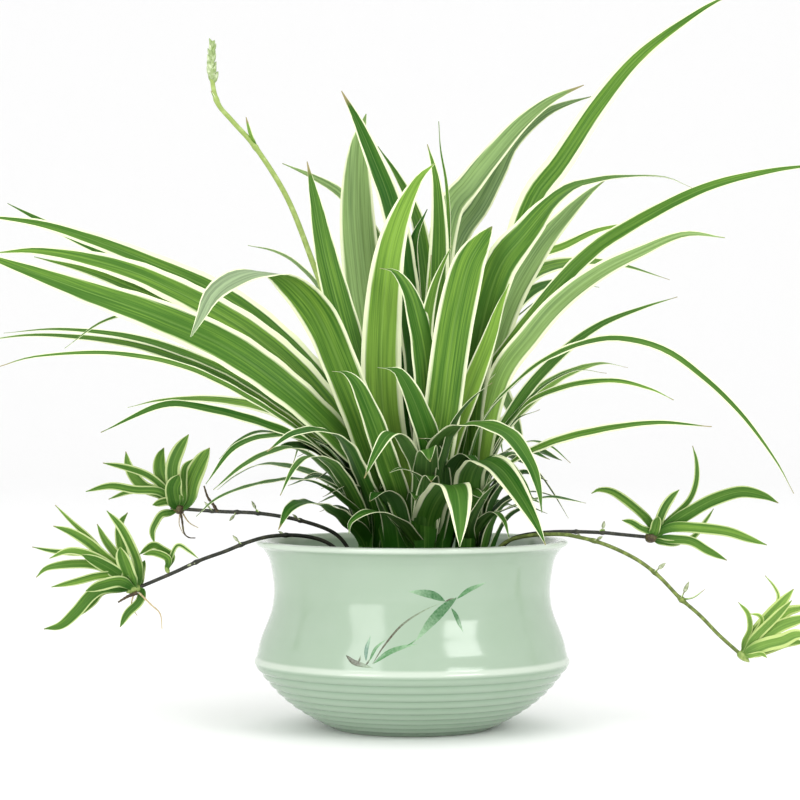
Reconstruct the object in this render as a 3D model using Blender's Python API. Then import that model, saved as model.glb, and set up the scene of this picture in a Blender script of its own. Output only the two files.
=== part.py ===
"""Potted variegated spider plant, built as separate solids.

Units are metres, +Z is up, and the origin is the middle of the pot's flat foot.
A turned stoneware bowl holds the soil. Four leaf rosettes, one flower stalk and four runners
stand in plain holes in the soil, and five plantlets sit on the runners.
Every leaf is a thin channelled blade along a route of its own, fused into its rosette.
"""

import math
import random
from collections import namedtuple

import bmesh
import bpy
import numpy as np
from mathutils import Vector

MM = 0.001

# Pot
RIM_RADIUS = 80.2 * MM
POT_HEIGHT = 98.0 * MM
SHOULDER_RADIUS = 82.5 * MM
SHOULDER_HEIGHT = 34.6 * MM
FOOT_RADIUS = 42.0 * MM
FOOT_BEVEL = 1.5 * MM
FLOOR_THICKNESS = 8.0 * MM
RIB_COUNT = 9
RIB_DEPTH = 0.8 * MM
BOWL_BULGE = 3.6 * MM
POT_SEGMENTS = 30

# Soil
SOIL_TOP = 86.0 * MM
SOIL_RADIUS = 69.1 * MM
SOIL_MOUND = 1.5 * MM
GAP = 0.3 * MM
HOLE_PLAY = 0.5 * MM
CROWN_HOLE_FLOOR = 66.0 * MM
STEM_HOLE_FLOOR = 72.0 * MM

# Leaf rosettes: where each crown stands, seen from above
CROWN_PLACES = {
    "left": (-21.0, -3.0),
    "front": (5.0, -12.0),
    "right": (31.0, 0.0),
    "back": (6.0, 17.0),
}
CROWN_RADIUS = 11.0 * MM
CROWN_FOOT = CROWN_HOLE_FLOOR + GAP
CROWN_TOP = 124.0 * MM
LEAF_START = 93.0 * MM
LEAF_ROOT_RADIUS = 6.5 * MM

# Leaf blades
BLADE_THICKNESS = 1.2 * MM
TIP_THICKNESS = 0.7 * MM
TIP_WIDTH = 0.9 * MM
BLADE_FOLD = 18.0
BASE_FOLD = 34.0
TAPER_START = 0.35
STEP_LENGTH = 76.0 * MM
STEP_TURN = math.radians(43.0)
CROWN_SIDES = 10

# Stems and plantlets
RUNNER_RADIUS = 1.25 * MM
STALK_RADIUS = 1.6 * MM
STEM_STEP = 20.0 * MM
STEM_TURN = math.radians(25.0)
STEM_SIDES = 6
KNOT_SIDES = 8
KNOT_RADIUS = 4.2 * MM
SMALL_KNOT_RADIUS = 2.4 * MM
KNOT_BACK = 0.7
PLANTLET_TURNS = (-24, -12, 0, 12, 24)

# The eye of the front view in which the routes are drawn, in millimetres
EYE = np.array((-6.3, -1310.0, 171.0))

Leaf = namedtuple("Leaf", "width turns route fold heading full shape",
                  defaults=(BLADE_FOLD, None, 2.4, None))

# Each route runs from its rosette's crown to the leaf's tip, in millimetres. x and z are
# drawn on the front view, and y is the real depth. turns are degrees along the leaf by which
# its upper face is turned to the front, and heading is where it grows to, seen from above.
# full is how long a leaf keeps its width, and shape is its share of the full width at even
# places along it where it follows no rule.
LEFT_LEAVES = [
    Leaf(15, (10, 60, 60), [(-22, -6, 134), (-48, -10, 181), (-90, -12, 220), (-137, -8, 243),
                            (-190, 0, 262), (-230, 6, 268)]),
    Leaf(19, (10, 65, 60), [(-18, -10, 124), (-48, -22, 172), (-85, -28, 206), (-132, -30, 232),
                            (-163, -26, 243), (-195, -20, 249), (-220, -15, 248)]),
    Leaf(22, (10, 70, 60), [(-24, -20, 129), (-48, -38, 160), (-90, -48, 194), (-132, -48, 214),
                            (-174, -40, 229), (-216, -28, 244), (-232, -24, 249)]),
    Leaf(17, (10, 50, 50), [(-22, 2, 128), (-52, 4, 170), (-88, 4, 201), (-116, 2, 217),
                            (-140, 0, 227), (-168, -2, 238), (-198, -4, 246)]),
    Leaf(6, (10, 30, 30), [(-20, 8, 113), (-38, 20, 142), (-80, 46, 176), (-116, 64, 194),
                           (-148, 78, 204), (-185, 88, 208), (-214, 92, 206)]),
    Leaf(5, (10, 25, 25), [(-27, -4, 118), (-48, -8, 147), (-90, -14, 177), (-122, -16, 192),
                           (-153, -16, 201), (-195, -12, 205), (-226, -8, 202)]),
    Leaf(5, (10, 20, 20), [(-22, -12, 108), (-38, -28, 134), (-64, -48, 158), (-111, -78, 185),
                           (-153, -98, 195), (-195, -110, 194), (-218, -112, 188)]),
    Leaf(7, (10, 40, 40), [(-24, -10, 130), (-60, -24, 178), (-105, -32, 206), (-140, -32, 216),
                           (-162, -30, 212), (-182, -28, 198)]),
    Leaf(8, (10, 20, 10), [(-22, 10, 113), (-43, 36, 145), (-69, 70, 164), (-101, 110, 171),
                           (-130, 142, 171), (-149, 158, 167)]),
    Leaf(7, (10, 20, 10), [(-20, -10, 103), (-32, -24, 124), (-53, -46, 147), (-80, -74, 159),
                           (-111, -104, 167), (-132, -124, 168), (-163, -150, 154)]),
    Leaf(9, (0, 20, 10), [(-27, -14, 113), (-40, -30, 135), (-57, -52, 149), (-74, -76, 152),
                          (-93, -100, 146), (-108, -118, 127)]),
    Leaf(8, (0, 20, 10), [(-25, -4, 116), (-45, -16, 146), (-69, -30, 153), (-81, -38, 154),
                          (-92, -46, 149), (-101, -52, 140)]),
    Leaf(8, (0, 10, 10), [(-25, -18, 108), (-42, -46, 132), (-60, -76, 145), (-73, -98, 144),
                          (-88, -122, 137), (-104, -142, 124)]),
    Leaf(6, (0, 20, 10), [(-30, 6, 116), (-45, 24, 129), (-64, 52, 136), (-80, 78, 137),
                          (-93, 104, 131), (-102, 124, 124)]),
    Leaf(7, (0, 10, 0), [(-22, -14, 103), (-38, -34, 120), (-56, -60, 129), (-80, -94, 127),
                         (-101, -124, 120), (-113, -142, 110)]),
    Leaf(12, (0, 20, 20), [(-20, -22, 112), (-28, -48, 134), (-36, -72, 149), (-48, -98, 155),
                           (-63, -122, 153), (-76, -138, 144)]),
    Leaf(14, (0, 40, 30), [(-30, -10, 118), (-42, -26, 136), (-53, -44, 145), (-64, -58, 147),
                           (-74, -70, 143)]),
    Leaf(9, (0, 0, 0), [(-30, -30, 118), (-42, -62, 137), (-54, -94, 141), (-62, -114, 135),
                        (-69, -128, 121)]),
    Leaf(15, (0, 10, 10), [(-30, -20, 103), (-44, -46, 114), (-55, -72, 117), (-64, -92, 114),
                           (-70, -104, 103)]),
]

FRONT_LEAVES = [
    Leaf(19, (10, 60, 100, 115, 115, 150, 235, 244),
         [(-12, -26, 112), (-20, -33, 138), (-29, -39, 166), (-38, -44, 190), (-48, -58, 213),
          (-58, -72, 227), (-69, -82, 236), (-82, -90, 238), (-95, -95, 234), (-105, -98, 226),
          (-111, -100, 214), (-116, -102, 204)],
         BLADE_FOLD, None, 2.4, (0.45, 0.6, 0.8, 0.95, 1, 1, 1, 0.9, 0.65, 0.5, 0.03)),
    Leaf(21, (20, 70, 70), [(-6, -12, 110), (-13, -12, 134), (-25, -12, 171), (-36, -12, 210),
                            (-45, -10, 245), (-51, -6, 276), (-55, -4, 296)], 44),
    Leaf(14, (0, 0, 0), [(-5, -24, 112), (-10, -34, 128), (-15, -42, 142), (-19, -47, 155),
                         (-24, -51, 168), (-29, -54, 179), (-35, -55, 185), (-42, -54, 186)],
         BLADE_FOLD, 125, 4),
    Leaf(22, (0, 0, 0), [(-2, -14, 105), (-9, -16, 129), (-15, -18, 165), (-16, -19, 200),
                         (-13, -19, 240), (-7, -18, 265), (3, -16, 286), (12, -14, 295)],
         BLADE_FOLD, 90, 2.8),
    Leaf(11, (0, 0, 0), [(6, -20, 120), (6, -24, 165), (7, -26, 205), (11, -28, 228),
                         (17, -29, 244), (21, -30, 252)], BLADE_FOLD, 90),
    Leaf(20, (0, 0, 0), [(8, -20, 118), (15, -28, 160), (19, -32, 190), (23, -34, 215),
                         (29, -36, 240), (35, -37, 252), (42, -38, 262)], BLADE_FOLD, 90, 9),
    Leaf(16, (0, 10, 10), [(9, -22, 112), (12, -36, 138), (20, -52, 154), (34, -68, 158),
                           (50, -86, 153), (61, -98, 139), (66, -104, 126), (68, -106, 112)]),
    Leaf(19, (0, 0, 0), [(10, -34, 112), (16, -58, 125), (20, -78, 124), (22, -94, 112),
                         (22, -102, 94)], BLADE_FOLD, None, 3.4),
    Leaf(12, (0, 10, 10), [(8, -24, 118), (2, -42, 137), (-6, -58, 151), (-12, -68, 153),
                           (-19, -78, 143), (-25, -86, 130)]),
    Leaf(15, (0, 0, 0), [(10, -24, 118), (11, -34, 134), (9, -39, 147), (5, -43, 160), (0, -46, 173),
                         (-6, -49, 184), (-11, -50, 187), (-18, -49, 188)], BLADE_FOLD, 125, 4),
    Leaf(12, (0, 10, 10), [(-4, -34, 104), (-14, -52, 111), (-24, -62, 112), (-32, -68, 107),
                           (-33, -70, 101)]),
    Leaf(14, (0, 0, 0), [(7, -30, 108), (9, -46, 126), (10, -58, 131), (10, -70, 128)]),
    Leaf(9, (0, 20, 20), [(11, -30, 116), (4, -46, 130), (-5, -56, 135), (-12, -62, 133)]),
    Leaf(14, (0, 0, 0), [(14, -26, 118), (14, -38, 138), (10, -46, 149), (3, -50, 151)]),
    Leaf(19, (0, 0, 0), [(8, -22, 122), (9, -26, 155), (7, -28, 190), (3, -29, 212), (-2, -30, 228),
                         (-9, -31, 238), (-17, -31, 240)], BLADE_FOLD, 120, 3),
    Leaf(10, (0, 20, 20), [(13, -30, 118), (17, -42, 140), (23, -50, 160), (32, -56, 172),
                           (42, -60, 180)]),
    Leaf(12, (0, 0, 0), [(13, -18, 120), (20, -22, 150), (30, -24, 176), (40, -26, 202), (46, -28, 220),
                         (51, -29, 232)], BLADE_FOLD, 90, 3),
]

RIGHT_LEAVES = [
    Leaf(13, (10, 60, 60), [(28, 4, 120), (34, 10, 170), (48, 14, 225), (62, 16, 273),
                            (78, 16, 296), (98, 14, 326), (120, 12, 352), (151, 8, 375),
                            (172, 6, 386)]),
    Leaf(20, (10, 80, 95, 95, 25, 0), [(28, -6, 125), (30, -12, 171), (36, -18, 207), (46, -24, 240),
                                   (60, -30, 258), (78, -36, 278), (98, -42, 286), (130, -48, 288),
                                   (147, -50, 282)], BLADE_FOLD, None, 3),
    Leaf(17, (10, 80, 90), [(34, 4, 140), (40, 6, 190), (50, 6, 222), (66, 5, 250), (80, 2, 267),
                            (92, -2, 279), (101, -4, 286)], BLADE_FOLD, None, 3),
    Leaf(10, (10, 65, 60), [(24, -4, 120), (30, -10, 168), (46, -16, 192), (67, -22, 219),
                            (88, -26, 243), (109, -28, 259), (151, -28, 281), (188, -22, 291),
                            (222, -16, 295)]),
    Leaf(8, (10, 30, 20), [(32, 8, 140), (36, 18, 197), (46, 32, 232), (60, 50, 245),
                           (78, 68, 251), (98, 86, 260), (124, 104, 265)]),
    Leaf(12, (10, 60, 50), [(34, -8, 130), (45, -18, 180), (62, -26, 205), (78, -32, 223),
                            (98, -38, 238), (120, -42, 249), (143, -44, 258), (164, -44, 256)]),
    Leaf(11, (10, 20, 10), [(34, 12, 150), (44, 32, 210), (60, 60, 235), (83, 96, 243),
                           (108, 128, 242), (135, 154, 234)]),
    Leaf(9, (10, 20, 10), [(36, 18, 150), (46, 44, 205), (60, 74, 226), (78, 108, 233),
                           (98, 138, 230)]),
    Leaf(4, (10, 20, 20), [(32, 6, 150), (44, 12, 202), (58, 16, 217), (72, 18, 228)]),
    Leaf(5, (10, 20, 20), [(36, 14, 130), (56, 38, 170), (78, 62, 195), (98, 80, 210),
                           (120, 98, 219), (139, 110, 225)]),
    Leaf(8, (10, 35, 30), [(26, -14, 115), (36, -30, 157), (57, -48, 182), (78, -62, 196),
                           (104, -74, 203), (130, -82, 198), (151, -88, 184), (172, -92, 164),
                           (190, -92, 140), (200, -90, 122)]),
    Leaf(9, (0, 30, 20), [(32, 10, 118), (45, 30, 152), (62, 58, 171), (78, 88, 183),
                          (98, 124, 190), (113, 150, 188)]),
    Leaf(4, (0, 20, 20), [(40, 4, 140), (62, 10, 172), (84, 14, 186), (102, 16, 185)]),
    Leaf(6, (0, 20, 20), [(36, -12, 125), (56, -34, 164), (78, -58, 177), (104, -84, 181),
                          (124, -102, 177), (137, -112, 171)]),
    Leaf(7, (0, 20, 20), [(32, -14, 114), (50, -42, 136), (72, -70, 148), (98, -100, 155),
                          (128, -128, 159), (157, -150, 157)]),
    Leaf(4, (0, 20, 20), [(38, 4, 130), (52, 8, 158), (67, 12, 166)]),
    Leaf(6, (0, 10, 10), [(36, -4, 120), (48, -14, 142), (60, -24, 149), (72, -32, 147),
                          (83, -38, 138)]),
    Leaf(18, (0, 10, 10), [(30, -18, 110), (31, -40, 130), (37, -62, 139), (47, -80, 134),
                           (57, -94, 120), (65, -102, 106), (70, -108, 95)]),
    Leaf(11, (0, 20, 20), [(30, -8, 115), (36, -24, 138), (48, -38, 138), (58, -48, 128),
                           (63, -54, 120)]),
    Leaf(8, (0, 10, 10), [(34, 2, 120), (50, 8, 142), (64, 14, 135), (74, 18, 122), (82, 22, 109)]),
    Leaf(7, (0, 20, 10), [(34, -12, 100), (42, -30, 110), (56, -54, 116), (72, -80, 120),
                          (91, -108, 117)]),
    Leaf(6, (0, 0, 0), [(34, -20, 104), (42, -40, 112), (48, -52, 108), (51, -58, 98)]),
    Leaf(8, (0, 20, 20), [(30, -26, 104), (38, -48, 120), (46, -62, 129)]),
]

BACK_LEAVES = [
    Leaf(15, (10, 50, 50), [(-10, 24, 130), (-45, 36, 176), (-85, 50, 208), (-127, 58, 234),
                            (-149, 60, 243), (-168, 61, 252), (-187, 61, 261), (-212, 58, 274)],
         BLADE_FOLD, None, 3),
    Leaf(5, (10, 30, 30), [(-8, 28, 140), (-28, 44, 190), (-47, 56, 227), (-60, 64, 242),
                           (-72, 70, 249), (-86, 76, 252)]),
    Leaf(10, (0, 0, 0), [(4, 30, 150), (-6, 44, 210), (-20, 54, 256), (-36, 60, 278),
                         (-52, 62, 288), (-68, 62, 295)]),
    Leaf(22, (180, 180, 180), [(-2, 22, 118), (-12, 30, 165), (-22, 34, 210), (-27, 36, 245),
                               (-29, 36, 276), (-28, 34, 305), (-24, 32, 321)], BLADE_FOLD, 90, 5),
    Leaf(15, (20, 60, 80), [(4, 16, 140), (0, 18, 200), (-6, 20, 250), (-12, 21, 276),
                            (-20, 21, 297), (-29, 20, 318), (-37, 18, 333)], BLADE_FOLD, None, 4),
    Leaf(13, (20, 50, 50), [(10, 24, 150), (10, 32, 210), (5, 36, 255), (0, 38, 273), (-8, 39, 289),
                           (-18, 40, 304)]),
    Leaf(14, (0, 0, 0), [(6, 14, 120), (8, 10, 165), (12, 8, 210), (14, 8, 245), (14, 8, 270),
                         (12, 8, 290), (8, 8, 305)], BLADE_FOLD, 90, 3),
    Leaf(4, (0, 0, 0), [(12, 26, 150), (17, 32, 210), (19, 34, 260), (18, 35, 284), (15, 35, 302),
                        (14, 35, 317)], BLADE_FOLD, 90),
    Leaf(15, (0, 0, 0), [(2, 20, 140), (0, 22, 190), (0, 24, 235), (1, 25, 255), (8, 26, 271)],
         BLADE_FOLD, 90),
    Leaf(6, (0, 0, 0), [(6, 12, 150), (8, 6, 200), (9, 4, 230), (10, 3, 247)], BLADE_FOLD, 90),
    Leaf(16, (-90, -95, -95), [(8, 26, 140), (10, 34, 195), (14, 40, 240), (20, 42, 271),
                               (30, 44, 284), (41, 46, 298), (58, 48, 317), (74, 48, 329),
                               (90, 46, 336)], BLADE_FOLD, None, 3),
    Leaf(15, (-60, -85, -85), [(12, 18, 140), (15, 30, 190), (19, 48, 235), (25, 54, 257),
                              (36, 56, 273), (45, 56, 290), (53, 56, 306), (68, 56, 320),
                              (80, 55, 326), (94, 54, 330)], BLADE_FOLD, None, 3),
]

# Leaves that arch to the rear, spread by a rule: headings in degrees, lengths in millimetres
REAR_FAN_COUNT = 9
REAR_FAN_HEADINGS = (68.0, 114.0)
REAR_FAN_LENGTHS = (150.0, 215.0)
REAR_FAN_WIDTHS = (9.0, 17.0)
REAR_FAN_OUT = (0.07, 0.24, 0.50, 0.74, 0.86)
REAR_FAN_UP = (0.26, 0.47, 0.54, 0.42, 0.26)
SEED = 11

# Runners, from the soil to their plantlets, and the flower stalk, in millimetres
RUNNERS = {
    "left_upper": [(-32, 13, 76), (-32, 13, 86), (-34, 13, 94), (-42, 12, 102), (-59, 11, 108),
                   (-80, 13, 111.6), (-101, 17, 112.6), (-122, 22, 114)],
    "left_lower": [(-36, -8, 76), (-36, -8, 85), (-38, -8, 91), (-46, -10, 97), (-59, -14, 100),
                   (-74, -20, 99.6), (-86, -24, 96.5), (-98, -26, 91.7), (-111, -28, 87),
                   (-125, -29, 80.5), (-145, -30, 72)],
    "right_upper": [(45, 8, 76), (45, 8, 86), (46, 8, 92), (52, 8, 98), (62, 7, 100.8), (78, 7, 102),
                    (98, 8, 101.6), (109, 9, 100.6), (125, 10, 99)],
    "right_lower": [(43, -13, 76), (43, -13, 85), (44, -13, 91), (50, -16, 97), (62, -20, 100),
                    (78, -24, 100.6), (88, -26, 99), (98, -28, 96.4), (109, -29, 92),
                    (120, -30, 86), (130, -30, 78), (140, -30, 67.6), (151, -30, 58),
                    (161, -30, 47.7), (173, -30, 37)],
}
# A plantlet that sits on the side of a runner: which runner, and how far along it
SIDE_SEATS = {"left_small": ("left_lower", 0.91)}
FLOWER_STALK = [(-16, 28, 76), (-16, 28, 88), (-18, 31, 110), (-23, 35, 145), (-34, 40, 190), (-43, 42, 218),
                (-52, 42, 243), (-66, 40, 276), (-82, 38, 303), (-94, 36, 320), (-103, 34, 333),
                (-106, 33, 352)]

# Scales on the stems, where a bud sits: place along the stem, length and width in
# millimetres, and the direction it points to
STEM_SCALES = {
    "left_upper": [(0.62, 7, 3, (-0.5, -0.3, 1)), (0.72, 6, 3, (-0.7, 0.3, -0.8))],
    "left_lower": [(0.55, 6, 3, (-0.8, -0.2, 0.9))],
    "right_upper": [(0.74, 6, 3, (0.5, -0.2, 1)), (0.60, 5, 2.5, (0.7, 0.2, -0.8))],
    "right_lower": [(0.60, 8, 3.5, (0.6, -0.2, 1)), (0.80, 9, 4, (0.7, -0.1, 1)),
                    (0.82, 12, 4, (1, 0.2, 0.25))],
}
STALK_BUD_COUNT = 6
STALK_BUD_SPAN = (0.86, 0.99)
STALK_BUD_LENGTH = 8.0 * MM
STALK_BUD_WIDTH = 3.4 * MM
STALK_BRACTS = [(0.72, 13, 4, (-0.2, -0.3, 1)), (0.45, 9, 3.5, (0.5, -0.4, 1))]

# Plantlets: the knot's radius, and each leaf's width, how far its tip lies behind the knot, and
# its route from the knot to the tip as x and z of the front view, all in millimetres
PLANTLETS = {
    "left_upper": (KNOT_RADIUS, [
        (8, 6, [(-122, 117), (-125, 129), (-125, 137), (-122, 145), (-117, 153)]),
        (9, -6, [(-118, 118), (-115, 129), (-111, 138), (-106, 146)]),
        (7, 12, [(-123, 117), (-128, 125), (-132, 134), (-132, 141), (-130, 146)]),
        (8, -12, [(-124, 118), (-125, 125), (-122, 132)]),
        (4, -14, [(-120, 119), (-120, 129), (-119, 136), (-115, 140)]),
        (4, 2, [(-124, 117), (-130, 125), (-139, 132), (-151, 136), (-162, 138)]),
        (6, 16, [(-124, 117), (-131, 122), (-141, 126), (-148, 135), (-150, 144)]),
        (4, -4, [(-124, 116), (-132, 123), (-145, 124), (-158, 126), (-171, 123)]),
        (3, 8, [(-124, 117), (-130, 122), (-137, 124), (-148, 123), (-159, 119)]),
        (4, -8, [(-126, 112), (-131, 111), (-134, 107), (-136, 102), (-135, 96)]),
        (4.5, -2, [(-124, 117), (-129, 118), (-136, 116)])]),
    "left_lower": (KNOT_RADIUS, [
        (3, 8, [(-146, 77), (-160, 89), (-168, 98), (-178, 107), (-187, 116)]),
        (5, 2, [(-146, 77), (-161, 89), (-169, 96), (-179, 102), (-188, 105)]),
        (4, 12, [(-149, 82), (-155, 90), (-161, 98), (-165, 106)]),
        (4.5, -2, [(-143, 77), (-144, 86), (-148, 96), (-153, 105), (-160, 113)]),
        (5, 14, [(-148, 79), (-151, 89), (-153, 98), (-153, 106), (-149, 112)]),
        (8, -12, [(-148, 79), (-151, 87), (-153, 94)]),
        (4.5, 6, [(-143, 75), (-142, 82), (-140, 87)]),
        (3, 16, [(-156, 82), (-169, 90), (-179, 91), (-189, 92), (-199, 94)]),
        (4, -4, [(-158, 84), (-169, 90), (-180, 92), (-190, 88)]),
        (4.5, 4, [(-148, 77), (-164, 84), (-178, 85), (-191, 83), (-197, 78)]),
        (4, -8, [(-154, 79), (-164, 79), (-176, 76), (-189, 73)]),
        (5.5, -16, [(-153, 76), (-163, 74), (-171, 71)]),
        (5.5, 0, [(-160, 73), (-168, 69), (-176, 60), (-184, 53), (-193, 51)]),
        (3.5, 8, [(-161, 71), (-167, 65), (-174, 58)]),
        (4.5, 0, [(-141, 71), (-143, 65), (-149, 59), (-153, 52)]),
        (6.5, -10, [(-154, 80), (-164, 86), (-173, 90)])]),
    "left_small": (SMALL_KNOT_RADIUS, [
        (4, -4, [(-126, 89), (-131, 93), (-136, 95), (-143, 90)]),
        (3.5, -8, [(-128, 88), (-135, 91), (-141, 90)]),
        (2, -12, [(-125, 92), (-122, 95), (-117, 92), (-112, 88)])]),
    "right_upper": (KNOT_RADIUS, [
        (4.5, -4, [(127, 102), (123, 109), (114, 117), (105, 123), (98, 124), (94, 122)]),
        (3.5, -8, [(125, 102), (120, 104), (115, 107), (110, 108)]),
        (4.5, 6, [(128, 104), (132, 114), (136, 120), (140, 124)]),
        (3, 12, [(131, 105), (140, 113), (146, 120), (149, 129), (149, 139), (147, 147)]),
        (7, 4, [(132, 104), (143, 111), (158, 119), (172, 123), (184, 121), (192, 117)]),
        (5.5, -6, [(136, 104), (148, 104), (165, 102), (177, 98), (186, 95)]),
        (4.5, -12, [(136, 98), (146, 97), (155, 92), (165, 87)]),
        (2.6, 12, [(138, 98), (147, 99), (154, 108), (158, 114)]),
        (5, -10, [(127, 103), (128, 107), (129, 110)]),
        (3.5, -4, [(130, 97), (136, 96), (142, 96)])]),
    "right_lower": (KNOT_RADIUS, [
        (6, 8, [(177, 45), (185, 55), (194, 65), (200, 72)]),
        (2, 14, [(177, 44), (188, 59), (192, 67), (190, 73), (185, 79)]),
        (2.6, 4, [(174, 44), (177, 51), (176, 59), (171, 65)]),
        (2.6, -3, [(178, 46), (183, 54), (182, 58), (177, 59)]),
        (6, 0, [(178, 44), (188, 53), (196, 60), (203, 62), (209, 64)]),
        (6, -6, [(178, 42), (186, 48), (194, 53), (203, 56), (210, 58)]),
        (6.5, -12, [(178, 40), (186, 43), (194, 45), (201, 48), (209, 48)]),
        (5, -4, [(178, 38), (187, 41), (196, 44), (206, 44)]),
        (2.4, -8, [(177, 37), (183, 38), (186, 36)]),
        (5, -10, [(180, 47), (190, 57), (199, 66)])]),
}

# Colours of the solids: red, green, blue and roughness
FINISHES = {
    "glaze": (0.47, 0.63, 0.45, 0.2),
    "potting soil": (0.06, 0.04, 0.03, 0.95),
    "leaf": (0.17, 0.33, 0.07, 0.45),
    "young leaf": (0.30, 0.45, 0.10, 0.5),
    "dark runner": (0.07, 0.05, 0.05, 0.6),
    "green runner": (0.28, 0.36, 0.12, 0.55),
}


def clear_scene():
    """Remove every object that is in the scene."""
    for thing in list(bpy.data.objects):
        bpy.data.objects.remove(thing)


def finish(name):
    """Return the named material, made on first use."""
    if name in bpy.data.materials:
        return bpy.data.materials[name]
    red, green, blue, roughness = FINISHES[name]
    material = bpy.data.materials.new(name)
    material.use_nodes = True
    shader = material.node_tree.nodes["Principled BSDF"]
    shader.inputs["Base Color"].default_value = (red, green, blue, 1.0)
    shader.inputs["Roughness"].default_value = roughness
    shader.inputs["Metallic"].default_value = 0.0
    return material


def new_object(name, vertices, faces, material, place=(0.0, 0.0, 0.0)):
    """Make a mesh object at a place; the vertices are given about that place."""
    mesh = bpy.data.meshes.new(name)
    mesh.from_pydata([tuple(vertex) for vertex in vertices], [], faces)
    mesh.materials.append(finish(material))
    thing = bpy.data.objects.new(name, mesh)
    thing.location = place
    bpy.context.scene.collection.objects.link(thing)
    return thing


def turned(name, profile, segments, material, place=(0.0, 0.0, 0.0)):
    """Turn a closed profile about Z: it starts and ends on the axis, lowest point first."""
    angles = [2 * math.pi * step / segments for step in range(segments)]
    vertices = [(0.0, 0.0, profile[0][1])]
    for radius, height in profile[1:-1]:
        vertices += [(radius * math.cos(a), radius * math.sin(a), height) for a in angles]
    vertices.append((0.0, 0.0, profile[-1][1]))
    faces = []
    rings = len(profile) - 2
    for step in range(segments):
        after = (step + 1) % segments
        faces.append((0, 1 + after, 1 + step))
        for ring in range(rings - 1):
            low = 1 + ring * segments
            high = low + segments
            faces.append((low + step, low + after, high + after, high + step))
        last = 1 + (rings - 1) * segments
        faces.append((last + step, last + after, len(vertices) - 1))
    return new_object(name, vertices, faces, material, place)


def combine(base, others, operation):
    """Join the others to the base, or cut them from it, in one Boolean, and remove them."""
    group = bpy.data.collections.new("operands")
    bpy.context.scene.collection.children.link(group)
    for other in others:
        bpy.context.scene.collection.objects.unlink(other)
        group.objects.link(other)
    boolean = base.modifiers.new("combine", "BOOLEAN")
    boolean.operation = operation
    boolean.operand_type = "COLLECTION"
    boolean.collection = group
    bpy.context.view_layer.update()
    evaluated = base.evaluated_get(bpy.context.evaluated_depsgraph_get())
    result = bpy.data.meshes.new_from_object(evaluated)
    base.modifiers.clear()
    base.data = result
    for other in others:
        bpy.data.objects.remove(other)
    bpy.data.collections.remove(group)
    return keep_main_body(base)


def keep_main_body(thing):
    """Fill the small hollows that fusing seals and drop loose scraps: keep the largest shell."""
    shape = bmesh.new()
    shape.from_mesh(thing.data)
    shells = []
    waiting = set(shape.verts)
    while waiting:
        front = [waiting.pop()]
        shell = set(front)
        while front:
            for edge in front.pop().link_edges:
                for vertex in edge.verts:
                    if vertex in waiting:
                        waiting.remove(vertex)
                        shell.add(vertex)
                        front.append(vertex)
        shells.append(shell)
    largest = max(shells, key=len)
    bmesh.ops.delete(shape, geom=[v for v in shape.verts if v not in largest], context="VERTS")
    shape.to_mesh(thing.data)
    shape.free()
    return thing


def place_point(point):
    """Slide a point of the front view along the eye's line of sight to its depth.

    x and z are read in the plane y = 0. At depth y the same line lies further from the
    eye's axis by the factor 1 + y / distance.
    """
    x, depth, z = point
    factor = 1 - depth / EYE[1]
    return np.array((EYE[0] + (x - EYE[0]) * factor, depth, EYE[2] + (z - EYE[2]) * factor)) * MM


def smooth_route(points, samples=16):
    """Run a smooth curve through the points: cubic spans with the slopes of their neighbours."""
    knots = np.vstack([2 * points[0] - points[1], points, 2 * points[-1] - points[-2]])
    t = np.linspace(0, 1, samples, endpoint=False)[:, None]
    spans = []
    for a, b, c, d in zip(knots[:-3], knots[1:-2], knots[2:-1], knots[3:]):
        spans.append(b + 0.5 * t * (c - a + t * (2 * a - 5 * b + 4 * c - d
                                                 + t * (3 * (b - c) + d - a))))
    return np.vstack(spans + [points[-1:]])


def stations(curve, step_length, step_turn, least):
    """Pick points along a dense curve, closer together where it bends.

    Return the points, their directions, and their places along the curve from 0 to 1.
    """
    steps = np.diff(curve, axis=0)
    lengths = np.linalg.norm(steps, axis=1)
    directions = steps / lengths[:, None]
    bends = np.arccos(np.clip(np.sum(directions[1:] * directions[:-1], axis=1), -1, 1))
    measure = np.concatenate([[0], np.cumsum(lengths / step_length + np.append(bends, 0) / step_turn)])
    count = max(least, math.ceil(measure[-1]))
    along = np.concatenate([[0], np.cumsum(lengths)]) / lengths.sum()
    picked = np.interp(np.linspace(0, measure[-1], count + 1), measure, along)
    points = np.column_stack([np.interp(picked, along, curve[:, axis]) for axis in range(3)])
    middles = (along[1:] + along[:-1]) / 2
    tangents = np.column_stack([np.interp(picked, middles, directions[:, axis]) for axis in range(3)])
    tangents /= np.linalg.norm(tangents, axis=1)[:, None]
    return points, tangents, picked


def blade_frames(tangents, places, turns, heading):
    """Give each station its side and face directions.

    The side is level and square to the leaf's heading, made square to the tangent, and then
    turned about it so that the upper face looks to the front by the given degrees. Without a
    heading the upper face looks to the front before it is turned.
    """
    if heading is None:
        sides = np.cross(tangents, (0.0, 1.0, 0.0))
        to_front = 1.0
    else:
        side = np.array((-math.sin(heading), math.cos(heading), 0.0))
        sides = side - (tangents @ side)[:, None] * tangents
        to_front = 1.0 if math.cos(heading) > -1e-6 else -1.0
    sides /= np.linalg.norm(sides, axis=1)[:, None]
    faces = np.cross(tangents, sides)
    angle = np.radians(np.interp(places, np.linspace(0, 1, len(turns)), turns)) * to_front
    cosine = np.cos(angle)[:, None]
    sine = np.sin(angle)[:, None]
    return sides * cosine + faces * sine, faces * cosine - sides * sine


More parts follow.
